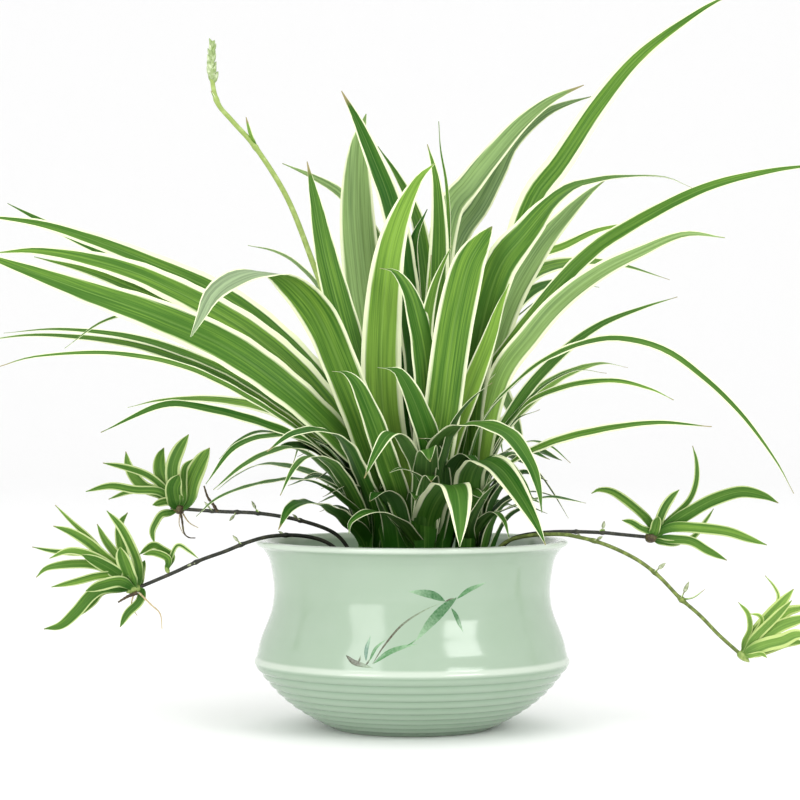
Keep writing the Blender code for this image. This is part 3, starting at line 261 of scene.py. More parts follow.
BACK_LEAVES = [
    Leaf(15, (10, 50, 50), 0.25, 0.1, [
        (-10, 24, 130), (-45, 36, 176), (-85, 50, 208), (-127, 58, 234), (-149, 60, 243),
        (-168, 61, 252), (-187, 61, 261), (-212, 58, 274)], fullness=3),
    Leaf(7, (-50, -60, -60), 0.6, 0.14, [
        (-8, 28, 140), (-28, 44, 190), (-47, 56, 227), (-60, 64, 242), (-72, 70, 249),
        (-86, 76, 252)]),
    Leaf(13, (-90, -90, -90), 0.7, 0.12, [
        (4, 30, 150), (-6, 44, 210), (-20, 54, 256), (-36, 60, 278), (-52, 62, 288), (-68, 62, 295)]),
    Leaf(22, (180, 180, 180), 0.75, 0.1, [
        (-2, 22, 118), (-12, 30, 165), (-22, 34, 210), (-27, 36, 245), (-29, 36, 276), (-28, 34, 305),
        (-24, 32, 321)], heading=90, fullness=5),
    Leaf(15, (20, 60, 80), 0.2, 0.15, [
        (4, 16, 140), (0, 18, 200), (-6, 20, 250), (-12, 21, 276), (-20, 21, 297), (-29, 20, 318),
        (-37, 18, 333)], fullness=4),
    Leaf(13, (20, 50, 50), 0.4, 0.15, [
        (10, 24, 150), (10, 32, 210), (5, 36, 255), (0, 38, 273), (-8, 39, 289), (-18, 40, 304)]),
    Leaf(14, (0, 0, 0), 0.55, 0.22, [
        (6, 14, 120), (8, 10, 165), (12, 8, 210), (14, 8, 245), (14, 8, 270), (12, 8, 290),
        (8, 8, 305)], heading=90, fullness=3),
    Leaf(4, (0, 0, 0), 0.4, 0.1, [
        (12, 26, 150), (17, 32, 210), (19, 34, 260), (18, 35, 284), (15, 35, 302),
        (14, 35, 317)], heading=90),
    Leaf(15, (0, 0, 0), 0.1, 0.08, [
        (2, 20, 140), (0, 22, 190), (0, 24, 235), (1, 25, 255), (8, 26, 271)], heading=90),
    Leaf(6, (0, 0, 0), 0.8, 0.1, [(6, 12, 150), (8, 6, 200), (9, 4, 230), (10, 3, 247)], heading=90),
    Leaf(17, (-90, -95, -95), 0.7, 0.14, [
        (8, 26, 140), (10, 34, 195), (14, 40, 240), (20, 42, 271), (30, 44, 284), (41, 46, 298),
        (58, 48, 317), (74, 48, 329), (90, 46, 336)], fullness=3),
    Leaf(15, (-60, -85, -85), 0.6, 0.12, [
        (12, 18, 140), (15, 30, 190), (19, 48, 235), (25, 54, 257), (36, 56, 273), (45, 56, 290),
        (53, 56, 306), (68, 56, 320), (80, 55, 326), (94, 54, 330)], fullness=3),
]

# Leaves that arch to the rear, spread by a rule: headings in degrees, lengths in millimetres,
# and the shares of its length that a leaf's route goes out and up
REAR_FAN_COUNT = 9
REAR_FAN_HEADINGS = (68.0, 114.0)
REAR_FAN_LENGTHS = (150.0, 215.0)
REAR_FAN_WIDTHS = (9.0, 17.0)
REAR_FAN_LIFTS = (0.75, 1.12)
REAR_FAN_OUT = (0.07, 0.24, 0.50, 0.74, 0.86)
REAR_FAN_UP = (0.26, 0.47, 0.54, 0.42, 0.26)
REAR_FAN_SEED = 11

# Short leaves round the foot of the clump, spread by a rule over an ellipse, in millimetres:
# how far out in it they start, and how far they lean out, are shares drawn between two bounds
CLUMP_MIDDLE = (5.0, 0.0)
CLUMP_REACH = (40.0, 24.0)
LOW_LEAF_COUNT = 30
LOW_LEAF_LENGTHS = (48.0, 95.0)
LOW_LEAF_LEANS = (0.35, 1.0)
LOW_LEAF_PLACES = (0.45, 1.0)
LOW_LEAF_WIDTHS = (12.0, 18.0)
LOW_LEAF_OUT = (0.0, 0.05, 0.22, 0.5, 0.8)
LOW_LEAF_UP = (0.0, 0.3, 0.58, 0.72, 0.66)
LOW_LEAF_SEED = 3

# The runner that is still green, and its plantlet
YOUNG = "right_lower"
# A plantlet that sits on the side of a runner: which runner, how far along it, and how high
SIDE_SEATS = {"left_small": ("left_lower", 0.91, 2.6)}

# Runners, from the soil to their plantlets, and the flower stalk: x and z as drawn on the front
# view and y the depth, in millimetres
RUNNERS = {
    "left_upper": [
        (-32, 13, 76), (-32, 13, 86), (-34, 13, 94), (-42, 12, 102), (-59, 11, 108), (-80, 13, 111.6),
        (-101, 17, 112.6), (-122, 22, 114)],
    "left_lower": [
        (-36, -8, 76), (-36, -8, 85), (-38, -8, 91), (-46, -10, 97), (-59, -14, 100),
        (-74, -20, 99.6), (-86, -24, 96.5), (-98, -26, 91.7), (-111, -28, 87), (-125, -29, 80.5),
        (-145, -30, 72)],
    "right_upper": [
        (45, 8, 76), (45, 8, 86), (46, 8, 92), (52, 8, 98), (62, 7, 100.8), (78, 7, 102),
        (98, 8, 101.6), (109, 9, 100.6), (125, 10, 99)],
    "right_lower": [
        (43, -13, 76), (43, -13, 85), (44, -13, 91), (50, -16, 97), (62, -20, 100), (78, -24, 100.6),
        (88, -26, 99), (98, -28, 96.4), (109, -29, 92), (120, -30, 86), (130, -30, 78),
        (140, -30, 67.6), (151, -30, 58), (161, -30, 47.7), (173, -30, 37)],
}
FLOWER_STALK = [
    (-16, 28, 76), (-16, 28, 88), (-18, 31, 110), (-23, 35, 145), (-34, 40, 190), (-43, 42, 218),
    (-52, 42, 243), (-65, 40, 276), (-81, 38, 302), (-94, 36, 317), (-102, 34, 327), (-105, 33, 342),
    (-104.5, 33, 356.5)]

# Plantlets: the knot's radius, and each leaf's width, how far its tip lies behind the knot, and
# its route from the knot to the tip as x and z of the front view, all in millimetres
PLANTLETS = {
    "left_upper": (4.2, [
        (8, 6, [(-122, 117), (-125, 129), (-125, 137), (-122, 145), (-117, 153)]),
        (9, -6, [(-118, 118), (-115, 129), (-111, 138), (-106, 146)]),
        (7, 12, [(-123, 117), (-128, 125), (-132, 134), (-132, 141), (-130, 146)]),
        (8, -12, [(-124, 118), (-125, 125), (-122, 132)]),
        (4, -14, [(-120, 119), (-120, 129), (-119, 136), (-115, 140)]),
        (4, 2, [(-124, 117), (-130, 125), (-139, 132), (-151, 136), (-162, 138)]),
        (6, 16, [(-124, 117), (-131, 122), (-141, 126), (-148, 135), (-150, 144)]),
        (4, -4, [(-124, 116), (-132, 123), (-145, 124), (-158, 126), (-171, 123)]),
        (3, 8, [(-124, 117), (-130, 122), (-137, 124), (-148, 123), (-159, 119)]),
        (4, -8, [(-126, 112), (-131, 111), (-134, 107), (-136, 102), (-135, 96)]),
        (4.5, -2, [(-124, 117), (-129, 118), (-136, 116)])]),
    "left_lower": (4.2, [
        (3, 8, [(-146, 77), (-160, 89), (-168, 98), (-178, 107), (-187, 116)]),
        (5, 2, [(-146, 77), (-161, 89), (-169, 96), (-179, 102), (-188, 105)]),
        (4, 12, [(-149, 82), (-155, 90), (-161, 98), (-165, 106)]),
        (4.5, -2, [(-143, 77), (-144, 86), (-148, 96), (-153, 105), (-160, 113)]),
        (5, 14, [(-148, 79), (-151, 89), (-153, 98), (-153, 106), (-149, 112)]),
        (8, -12, [(-148, 79), (-151, 87), (-153, 94)]),
        (4.5, 6, [(-143, 75), (-142, 82), (-140, 87)]),
        (3, 16, [(-156, 82), (-169, 90), (-179, 91), (-189, 92), (-199, 94)]),
        (4, -4, [(-158, 84), (-169, 90), (-180, 92), (-190, 88)]),
        (4.5, 4, [(-148, 77), (-164, 84), (-178, 85), (-191, 83), (-197, 78)]),
        (4, -8, [(-154, 79), (-164, 79), (-176, 76), (-189, 73)]),
        (5.5, -16, [(-153, 76), (-163, 74), (-171, 71)]),
        (5.5, 0, [(-160, 73), (-168, 69), (-176, 60), (-184, 53), (-193, 51)]),
        (3.5, 8, [(-161, 71), (-167, 65), (-174, 58)]),
        (4.5, 0, [(-141, 71), (-143, 65), (-149, 59), (-153, 52)]),
        (6.5, -10, [(-154, 80), (-164, 86), (-173, 90)])]),
    "left_small": (2.4, [
        (4, -4, [(-126, 89), (-131, 93), (-136, 95), (-143, 90)]),
        (3.5, -8, [(-128, 88), (-135, 91), (-141, 90)]),
        (2, -12, [(-125, 92), (-122, 95), (-117, 92), (-112, 88)])]),
    "right_upper": (4.2, [
        (4.5, -4, [(127, 102), (123, 109), (114, 117), (105, 123), (98, 124), (94, 122)]),
        (3.5, -8, [(125, 102), (120, 104), (115, 107), (110, 108)]),
        (4.5, 6, [(128, 104), (132, 114), (136, 120), (140, 124)]),
        (3, 12, [(131, 105), (140, 113), (146, 120), (149, 129), (149, 139), (147, 147)]),
        (7, 4, [(132, 104), (143, 111), (158, 119), (172, 123), (184, 121), (192, 117)]),
        (5.5, -6, [(136, 104), (148, 104), (165, 102), (177, 98), (186, 95)]),
        (4.5, -12, [(136, 98), (146, 97), (155, 92), (165, 87)]),
        (2.6, 12, [(138, 98), (147, 99), (154, 108), (158, 114)]),
        (5, -10, [(127, 103), (128, 107), (129, 110)]),
        (3.5, -4, [(130, 97), (136, 96), (142, 96)])]),
    "right_lower": (4.2, [
        (6, 8, [(177, 45), (185, 55), (194, 65), (200, 72)]),
        (2, 14, [(177, 44), (188, 59), (192, 67), (190, 73), (185, 79)]),
        (2.6, 4, [(174, 44), (177, 51), (176, 59), (171, 65)]),
        (2.6, -3, [(178, 46), (183, 54), (182, 58), (177, 59)]),
        (6, 0, [(178, 44), (188, 53), (196, 60), (203, 62), (209, 64)]),
        (6, -6, [(178, 42), (186, 48), (194, 53), (203, 56), (210, 58)]),
        (6.5, -12, [(178, 40), (186, 43), (194, 45), (201, 48), (209, 48)]),
        (5, -4, [(178, 38), (187, 41), (196, 44), (206, 44)]),
        (2.4, -8, [(177, 37), (183, 38), (186, 36)]),
        (5, -10, [(180, 47), (190, 57), (199, 66)])]),
}
# The brightness of a plantlet's leaves, and the least and greatest share of their margins
PLANTLET_LOOK = (0.48, 0.04, 0.16)
YOUNG_LOOK = (0.5, 0.06, 0.26)

# Scales on the stems, where a bud sits: place along the stem, length and width in
# millimetres, and the direction that it points to. A longer one has lost its bud.
STEM_SCALES = {
    "left_upper": [(0.62, 7, 3, (-0.5, -0.3, 1)), (0.72, 6, 3, (-0.7, 0.3, -0.8)),
                   (0.42, 5, 2.6, (-0.8, -0.4, 0.7)), (0.84, 6, 2.6, (-0.7, -0.3, 0.9))],
    "left_lower": [(0.55, 6, 3, (-0.8, -0.2, 0.9)), (0.36, 4, 2.4, (-0.9, -0.3, 0.5)),
                   (0.74, 5, 2.4, (-0.9, -0.2, -0.4))],
    "right_upper": [(0.74, 6, 3.6, (0.15, -0.3, 1)), (0.60, 4, 2.5, (0.7, 0.2, -0.8))],
    "right_lower": [(0.63, 7, 4, (0.9, -0.3, 0.8)), (0.745, 9, 4, (0.45, -0.1, 1)),
                    (0.75, 13, 5, (1, -0.2, 0.5)), (0.42, 4.5, 3, (0.9, -0.3, 0.5))],
}
LONGEST_BUD = 10.0
STALK_BRACTS = [(0.80, 17, 3.5, (-0.3, -0.3, 1)), (0.45, 9, 3.5, (0.5, 0.4, 1)),
                (0.905, 6, 2.6, (-0.6, -0.2, 1))]
# The buds of the flower spike: how many, the turn from one to the next, where on the stalk they
# start, and the length of the lowest and how much shorter the highest is
SPIKE_BUDS = 26
SPIKE_TURN = 137.5
SPIKE_START = 0.935
SPIKE_LENGTH = 7.2
SPIKE_SHORTER = 2.6

# Loose roots and dry stalks at the plantlets: radius, whether it is dry, and its route in
# millimetres, as for a runner
ROOTS = {
    "left_upper": [
        (1.0, True, [(-102, 17, 112.4), (-104, 17, 116), (-107, 18, 120), (-109, 18, 126)]),
        (0.7, True, [
            (-121.5, 21, 113), (-120.5, 18, 108), (-119.5, 17, 101.5), (-117, 17, 99),
            (-113.5, 17, 98.7)]),
        (0.5, False, [(-121, 23, 113), (-117, 26, 107), (-112, 27, 104)]),
        (0.4, False, [(-121.5, 23, 113), (-122, 27, 106), (-120, 28, 101)])],
    "left_lower": [
        (1.1, True, [(-144, -32, 70), (-149, -34, 68), (-154, -34, 65)]),
        (0.55, False, [(-143, -31, 70), (-137, -32, 64), (-132, -32, 59), (-131, -32, 51)]),
        (0.5, False, [(-146, -28, 69), (-147, -26, 63), (-144, -25, 58)])],
}

# Brush strokes of the sprig on the pot: colour, greatest width, and its line as the arc from
# the pot's front and the height, in millimetres
SPRIG = [
    ("root", 3.2, [(-34, 44.6), (-30, 41.6), (-25, 40.2), (-20, 39.0)]),
    ("root", 1.2, [(-27.5, 41.0), (-26.6, 43.2), (-26.2, 45.0)]),
    ("root", 1.0, [(-23.6, 40.2), (-22.0, 42.2), (-21.4, 43.6)]),
    ("stem", 1.2, [(-20, 41), (-14, 50), (-5, 60), (6, 67), (16, 71)]),
    ("young", 3.0, [(-19.5, 41.2), (-12, 46.5), (-4, 49.5), (2, 50.5)]),
    ("ink", 2.4, [(-23.4, 42.5), (-23.2, 48), (-21, 54.5)]),
    ("young", 1.8, [(-21.6, 42.5), (-18.4, 48.5), (-13.6, 52.6)]),
    ("leaf", 4.8, [(16.0, 71.4), (10, 74.4), (4, 75.6), (-2, 76.2)]),
    ("leaf", 5.8, [(22, 72.8), (16, 68), (8.5, 60.5), (1.4, 52.0)]),
    ("young", 2.8, [(22.5, 72.4), (28, 76.2), (33, 78.2), (38.5, 80)]),
    ("leaf", 2.6, [(19.5, 67.6), (21.6, 64.4), (23.4, 60.4), (25.4, 56.0)]),
    ("young", 0.8, [(-4, 49.4), (-1, 50.8), (2.4, 53.4)]),
    ("stem", 0.8, [(16, 71), (19.5, 72.4), (22.5, 72.6)]),
]
# How deep a stroke's underside lies in the wall, and the least half width of its ends
STROKE_SINK = 0.3
STROKE_TIP = 0.08

# The pot's outline, radius and height in millimetres: foot, shoulder, waist, lip and inside.
# The ribbed bowl comes between foot and shoulder.
POT_FOOT = [(0.4, 1.5), (20, 1.5), (33, 1.4), (34.6, 1.0), (35.4, 0.2), (36.2, 0.0), (41.0, 0.0),
            (42.2, 0.15), (43.2, 0.7)]
POT_SHOULDER = [(82.2, 33.5), (82.55, 34.6), (82.3, 35.7), (81.5, 37.2), (80.9, 39.2)]
POT_WAIST = [(80.6, 40.6), (79.6, 45), (77.8, 50), (75.5, 55.5), (73.6, 61), (72.7, 66), (72.3, 72),
             (72.9, 79), (74.4, 87), (76.2, 91), (77.9, 93.4)]
POT_LIP = [(79.2, 94.4), (80.9, 95.3), (81.5, 96.4), (81.1, 97.5), (79.4, 98.0), (77.0, 97.9),
           (75.6, 97), (73.0, 93)]
POT_INSIDE = [(71.4, 90.4), (69.4, 87), (67.6, 80), (67.3, 74), (70.5, 55.5), (76.3, 38.2),
              (76.2, 36), (74.5, 32.5), (56.0, 14.5), (40.0, 8.2), (20, 8.0), (0.4, 8.0)]
RIB_COUNT = 9

# The soil: its outline against the wall, 0.3 mm clear of it, as radius and height, the radius
# and height of its edge, and how much its middle is mounded
SOIL_SIDE = [(0.4, 8.4), (39.6, 8.6), (55.6, 14.9), (74.1, 32.7), (75.9, 37), (70.2, 55.5),
             (67.0, 74), (68.6, 85.0)]
SOIL_RADIUS = 68.8
SOIL_HEIGHT = 86.0
SOIL_MOUND = 1.5
# Its lumps, the mean of seeded waves, and its crumbs: how far from the middle they lie, how
# high at the edge, how much higher in the middle, and the rows and columns of one
LUMP_WAVES = 40
LUMP_LENGTHS = (5, 30)
CRUMB_REACH = 65.5
CRUMB_HEIGHT = 86.4
CRUMB_MOUND = 1.4
CRUMB_GRID = (5, 6)

# The roughness of the glaze and of the bare clay, and the sockets of a Mix node of colours
GLAZE_ROUGHNESS = 0.13
CLAY_ROUGHNESS = 0.75
FIRST = 6
SECOND = 7
MIXED = 2


def linear(code):
    """Turn an sRGB hex colour into linear red, green, blue and alpha.

    A channel c becomes ((c + 0.055) / 1.055) to the power 2.4, or c / 12.92 where it is dark.
    """
    channels = [int(code[start:start + 2], 16) / 255 for start in (0, 2, 4)]
    return tuple(c / 12.92 if c <= 0.04045 else ((c + 0.055) / 1.055) ** 2.4
                 for c in channels) + (1.0,)


def length_setting(name, description, default, least, most):
    """Return a length to be set, with its default and limits in millimetres."""
    return bpy.props.FloatProperty(
        name=name, description=description, default=default * MM, min=least * MM, max=most * MM,
        precision=5, subtype="DISTANCE", unit="LENGTH")


def colour_setting(name, description, default):
    """Return a colour to be set, with its default as sRGB hex."""
    return bpy.props.FloatVectorProperty(
        name=name, description=description, default=linear(default), size=4, min=0.0, max=1.0,
        subtype="COLOR")


class PotSettings(bpy.types.PropertyGroup):
    """Sizes and colours of the glazed bowl and the sprig painted on it."""

    rib_depth: length_setting(
        "Rib depth", "Depth of the grooves turned into the bowl", 0.9, 0.0, 2.0)
    stroke_height: length_setting(
        "Stroke height", "How far a brush stroke stands on the wall", 0.12, 0.05, 0.5)
    glaze_color: colour_setting("Glaze", "Colour of the celadon glaze on the wall", "9FB19E")
    edge_color: colour_setting(
        "Thin glaze", "Colour of the glaze where it runs thin, on rim and shoulder", "C0CCBD")
    pool_color: colour_setting(
        "Pooled glaze", "Colour of the glaze where it gathers in the grooves", "7F9C82")
    clay_color: colour_setting("Bare clay", "Colour of the unglazed foot", "C9BCA6")
    sprig_leaf_color: colour_setting("Sprig leaf", "Colour of the sprig's full leaves", "155C22")
    sprig_young_color: colour_setting(
        "Sprig young leaf", "Colour of the sprig's thin leaves", "2F7034")
    sprig_stem_color: colour_setting("Sprig stem", "Colour of the sprig's stem", "46352A")
    sprig_root_color: colour_setting("Sprig root", "Colour of the sprig's root", "331D10")
    sprig_ink_color: colour_setting(
        "Sprig shoot", "Colour of the sprig's small grey shoot", "4F7565")


class SoilSettings(bpy.types.PropertyGroup):
    """Sizes and colours of the potting soil."""

    roughness_height: length_setting("Unevenness", "Height of the soil's lumps", 1.1, 0.0, 3.0)
    crumb_size: length_setting("Crumb size", "Middle radius of a soil crumb", 1.5, 0.3, 4.0)
    crumb_count: bpy.props.IntProperty(
        name="Crumbs", description="Number of loose crumbs on the soil", default=620, min=0,
        max=2000)
    soil_color: colour_setting("Soil", "Colour of moist peat", "2E2219")
    fibre_color: colour_setting("Fibre", "Colour of the dry fibres and bark in it", "6A5139")


class LeafSettings(bpy.types.PropertyGroup):
    """Sizes and colours of the striped leaves."""

    thickness: length_setting("Leaf thickness", "Thickness at the midrib", 0.55, 0.3, 1.5)
    ripple: length_setting("Edge ripple", "Height of the waves along a leaf's edges", 0.5, 0.0, 2.0)
    dark_color: colour_setting("Dark green", "Green of old and shaded leaves", "22530F")
    middle_color: colour_setting("Leaf green", "Green of most leaves", "477026")
    bright_color: colour_setting("Bright green", "Green of young leaves in full light", "7AA03C")
    margin_color: colour_setting("Margin", "Cream of the leaf margins", "E6ECC4")
    under_color: colour_setting("Underside", "Grey green of the undersides", "98AD86")
    base_color: colour_setting(
        "Leaf base", "Pale green where the leaves clasp each other", "93B560")
    dry_color: colour_setting("Dry tip", "Brown of the withered tips", "9A8A62")


class StemSettings(bpy.types.PropertyGroup):
    """Sizes and colours of the runners, the flower stalk and the roots."""

    runner_radius: length_setting("Runner radius", "Radius of a runner at the soil", 1.05, 0.5, 3.0)
    stalk_radius: length_setting(
        "Stalk radius", "Radius of the flower stalk at the soil", 2.0, 0.5, 3.0)
    dark_color: colour_setting("Dark runner", "Dark olive grey of the old runners", "1E2218")
    green_color: colour_setting("Green runner", "Olive green of the young runner", "58682A")
    stalk_color: colour_setting("Flower stalk", "Yellow green of the flower stalk", "8FA653")
    root_color: colour_setting("Root", "Buff of the air roots", "B9A57C")


class StageSettings(bpy.types.PropertyGroup):
    """The floor, the light and the world around the plant."""

    floor_color: colour_setting("Floor", "Colour of the plain floor", "FAFAFA")
    window_power: bpy.props.FloatProperty(
        name="Window light", description="Power of each of the two window lights",
        default=11.0, min=0.0, max=200.0, subtype="POWER", unit="POWER")
    sky_power: bpy.props.FloatProperty(
        name="Overhead light", description="Power of the soft light above",
        default=10.0, min=0.0, max=200.0, subtype="POWER", unit="POWER")
    surround: bpy.props.FloatProperty(
        name="Surround", description="Strength of the white all around",
        default=1.0, min=0.0, max=3.0)


class PlantSettings(bpy.types.PropertyGroup):
    """Every setting of the potted plant, by piece."""

    pot: bpy.props.PointerProperty(name="Pot", description="The bowl", type=PotSettings)
    soil: bpy.props.PointerProperty(name="Soil", description="The soil", type=SoilSettings)
    leaf: bpy.props.PointerProperty(name="Leaves", description="The leaves", type=LeafSettings)
    stem: bpy.props.PointerProperty(name="Stems", description="The stems", type=StemSettings)
    stage: bpy.props.PointerProperty(name="Stage", description="The stage", type=StageSettings)


def add_node(tree, kind, output, inputs=None, **settings):
    """Add a node, set its settings, give each input a value or a link, and return an output."""
    node = tree.nodes.new("ShaderNode" + kind)
    for name, value in settings.items():
        setattr(node, name, value)
    for name, value in (inputs or {}).items():
        if isinstance(value, bpy.types.NodeSocket):
            tree.links.new(value, node.inputs[name])
        else:
            node.inputs[name].default_value = value
    return node.outputs[output]


def new_material(name, roughness, ior=1.5, gloss=0.5):
    """Return a new material, its node tree and its shader, made dielectric and opaque."""
    material = bpy.data.materials.new(name)
    material.use_nodes = True
    tree = material.node_tree
    shader = tree.nodes["Principled BSDF"]
    shader.inputs["Roughness"].default_value = roughness
    shader.inputs["Metallic"].default_value = 0.0
    shader.inputs["IOR"].default_value = ior
    shader.inputs["Specular IOR Level"].default_value = gloss
    return material, tree, shader


def cover(tree, shader, colour, relief=None, strength=0.0, depth=0.0):
    """Give the shader its colour, and bumps by a relief, of a strength and a depth in mm."""
    tree.links.new(colour, shader.inputs["Base Color"])
    if relief is not None:
        bump = add_node(tree, "Bump", "Normal",
                        {"Height": relief, "Strength": strength, "Distance": depth * MM})
        tree.links.new(bump, shader.inputs["Normal"])


def celadon_glaze(settings):
    """Celadon glaze, fired over stoneware: glassy and smooth, jade green where it lies thick.

    It gives the eye sharp window reflections, a paler line where it runs thin over an edge, a
    deeper green where it gathers in a groove, and faint clouds of colour.
    """
    material, tree, shader = new_material("celadon_glaze", GLAZE_ROUGHNESS, 1.52)
    place = add_node(tree, "TexCoord", "Object")
    # Clouds about 22 mm across
    cloud = add_node(tree, "TexNoise", "Fac", {"Vector": place, "Scale": 45.0, "Detail": 2.0})
    colour = add_node(tree, "Mix", MIXED,
                      {"Factor": cloud, FIRST: settings.glaze_color, SECOND: linear("F0F6EF")},
                      data_type="RGBA", blend_type="MULTIPLY")
    # Over them the thin glaze, the pooled glaze and the bare clay
    for trait, layer in (("edge", settings.edge_color), ("pool", settings.pool_color),
                         ("bare", settings.clay_color)):
        share = add_node(tree, "Attribute", "Fac", attribute_name=trait)
        colour = add_node(tree, "Mix", MIXED, {"Factor": share, FIRST: colour, SECOND: layer},
                          data_type="RGBA")
    rough = add_node(tree, "MapRange", "Result",
                     {"Value": share, "To Min": GLAZE_ROUGHNESS, "To Max": CLAY_ROUGHNESS})
    tree.links.new(rough, shader.inputs["Roughness"])
    # The glaze's slow waves, about 9 mm across and a few hundredths deep
    wave = add_node(tree, "TexNoise", "Fac", {"Vector": place, "Scale": 110.0, "Detail": 1.0})
    cover(tree, shader, colour, wave, 0.12, 0.2)
    return material


def brush_colour(name, colour):
    """Underglaze colour, brushed on and glazed over: as glassy as the wall, thinner to its ends."""
    material, tree, shader = new_material(name, 0.16)
    place = add_node(tree, "TexCoord", "Object")
    # Hair marks of the brush, about 1.2 mm apart
    hairs = add_node(tree, "TexNoise", "Fac", {"Vector": place, "Scale": 800.0, "Detail": 2.0})
    fade = add_node(tree, "Attribute", "Fac", attribute_name="fade")
    share = add_node(tree, "Math", 0, {0: hairs, 1: 0.5, 2: fade}, operation="MULTIPLY_ADD",
                     use_clamp=True)
    washed = add_node(tree, "Mix", MIXED,
                      {"Factor": share, FIRST: colour, SECOND: linear("B4D2B0")},
                      data_type="RGBA")
    cover(tree, shader, washed)
    return material


def flecked(name, roughness, ior, colours, grain, span, relief):
    """Make a finish of two colours, the second in flecks where a noise is high.

    grain holds the noise's own values, span where the second colour starts and is full, and
    relief the strength and depth of the bumps that the noise gives.
    """
    material, tree, shader = new_material(name, roughness, ior)
    place = add_node(tree, "TexCoord", "Object")
    fleck = add_node(tree, "TexNoise", "Fac", {"Vector": place, **grain})
    share = add_node(tree, "MapRange", "Result",
                     {"Value": fleck, "From Min": span[0], "From Max": span[1]},
                     interpolation_type="SMOOTHSTEP")
    mixed = add_node(tree, "Mix", MIXED, {"Factor": share, FIRST: colours[0], SECOND: colours[1]},
                     data_type="RGBA")
    cover(tree, shader, mixed, fleck, *relief)
    return material


def moist_peat(settings):
    """Moist peat soil, crumbled by hand: near black, matt, with paler fibres through it."""
    # Fibres and grains about 1.5 mm across
    return flecked("moist_peat", 0.9, 1.4, (settings.soil_color, settings.fibre_color),
                   {"Scale": 650.0, "Detail": 4.0, "Roughness": 0.7}, (0.5, 0.75), (0.8, 0.8))


def stem_bark(name, colour, paler):
    """Runner or stalk skin, grown: a dull sheen, fine lines along it and paler worn places."""
    # Flecks about 3 mm long
    return flecked(name, 0.5, 1.45, (colour, linear(paler)), {"Scale": 330.0, "Detail": 3.0},
                   (0.42, 0.75), (0.4, 0.2))


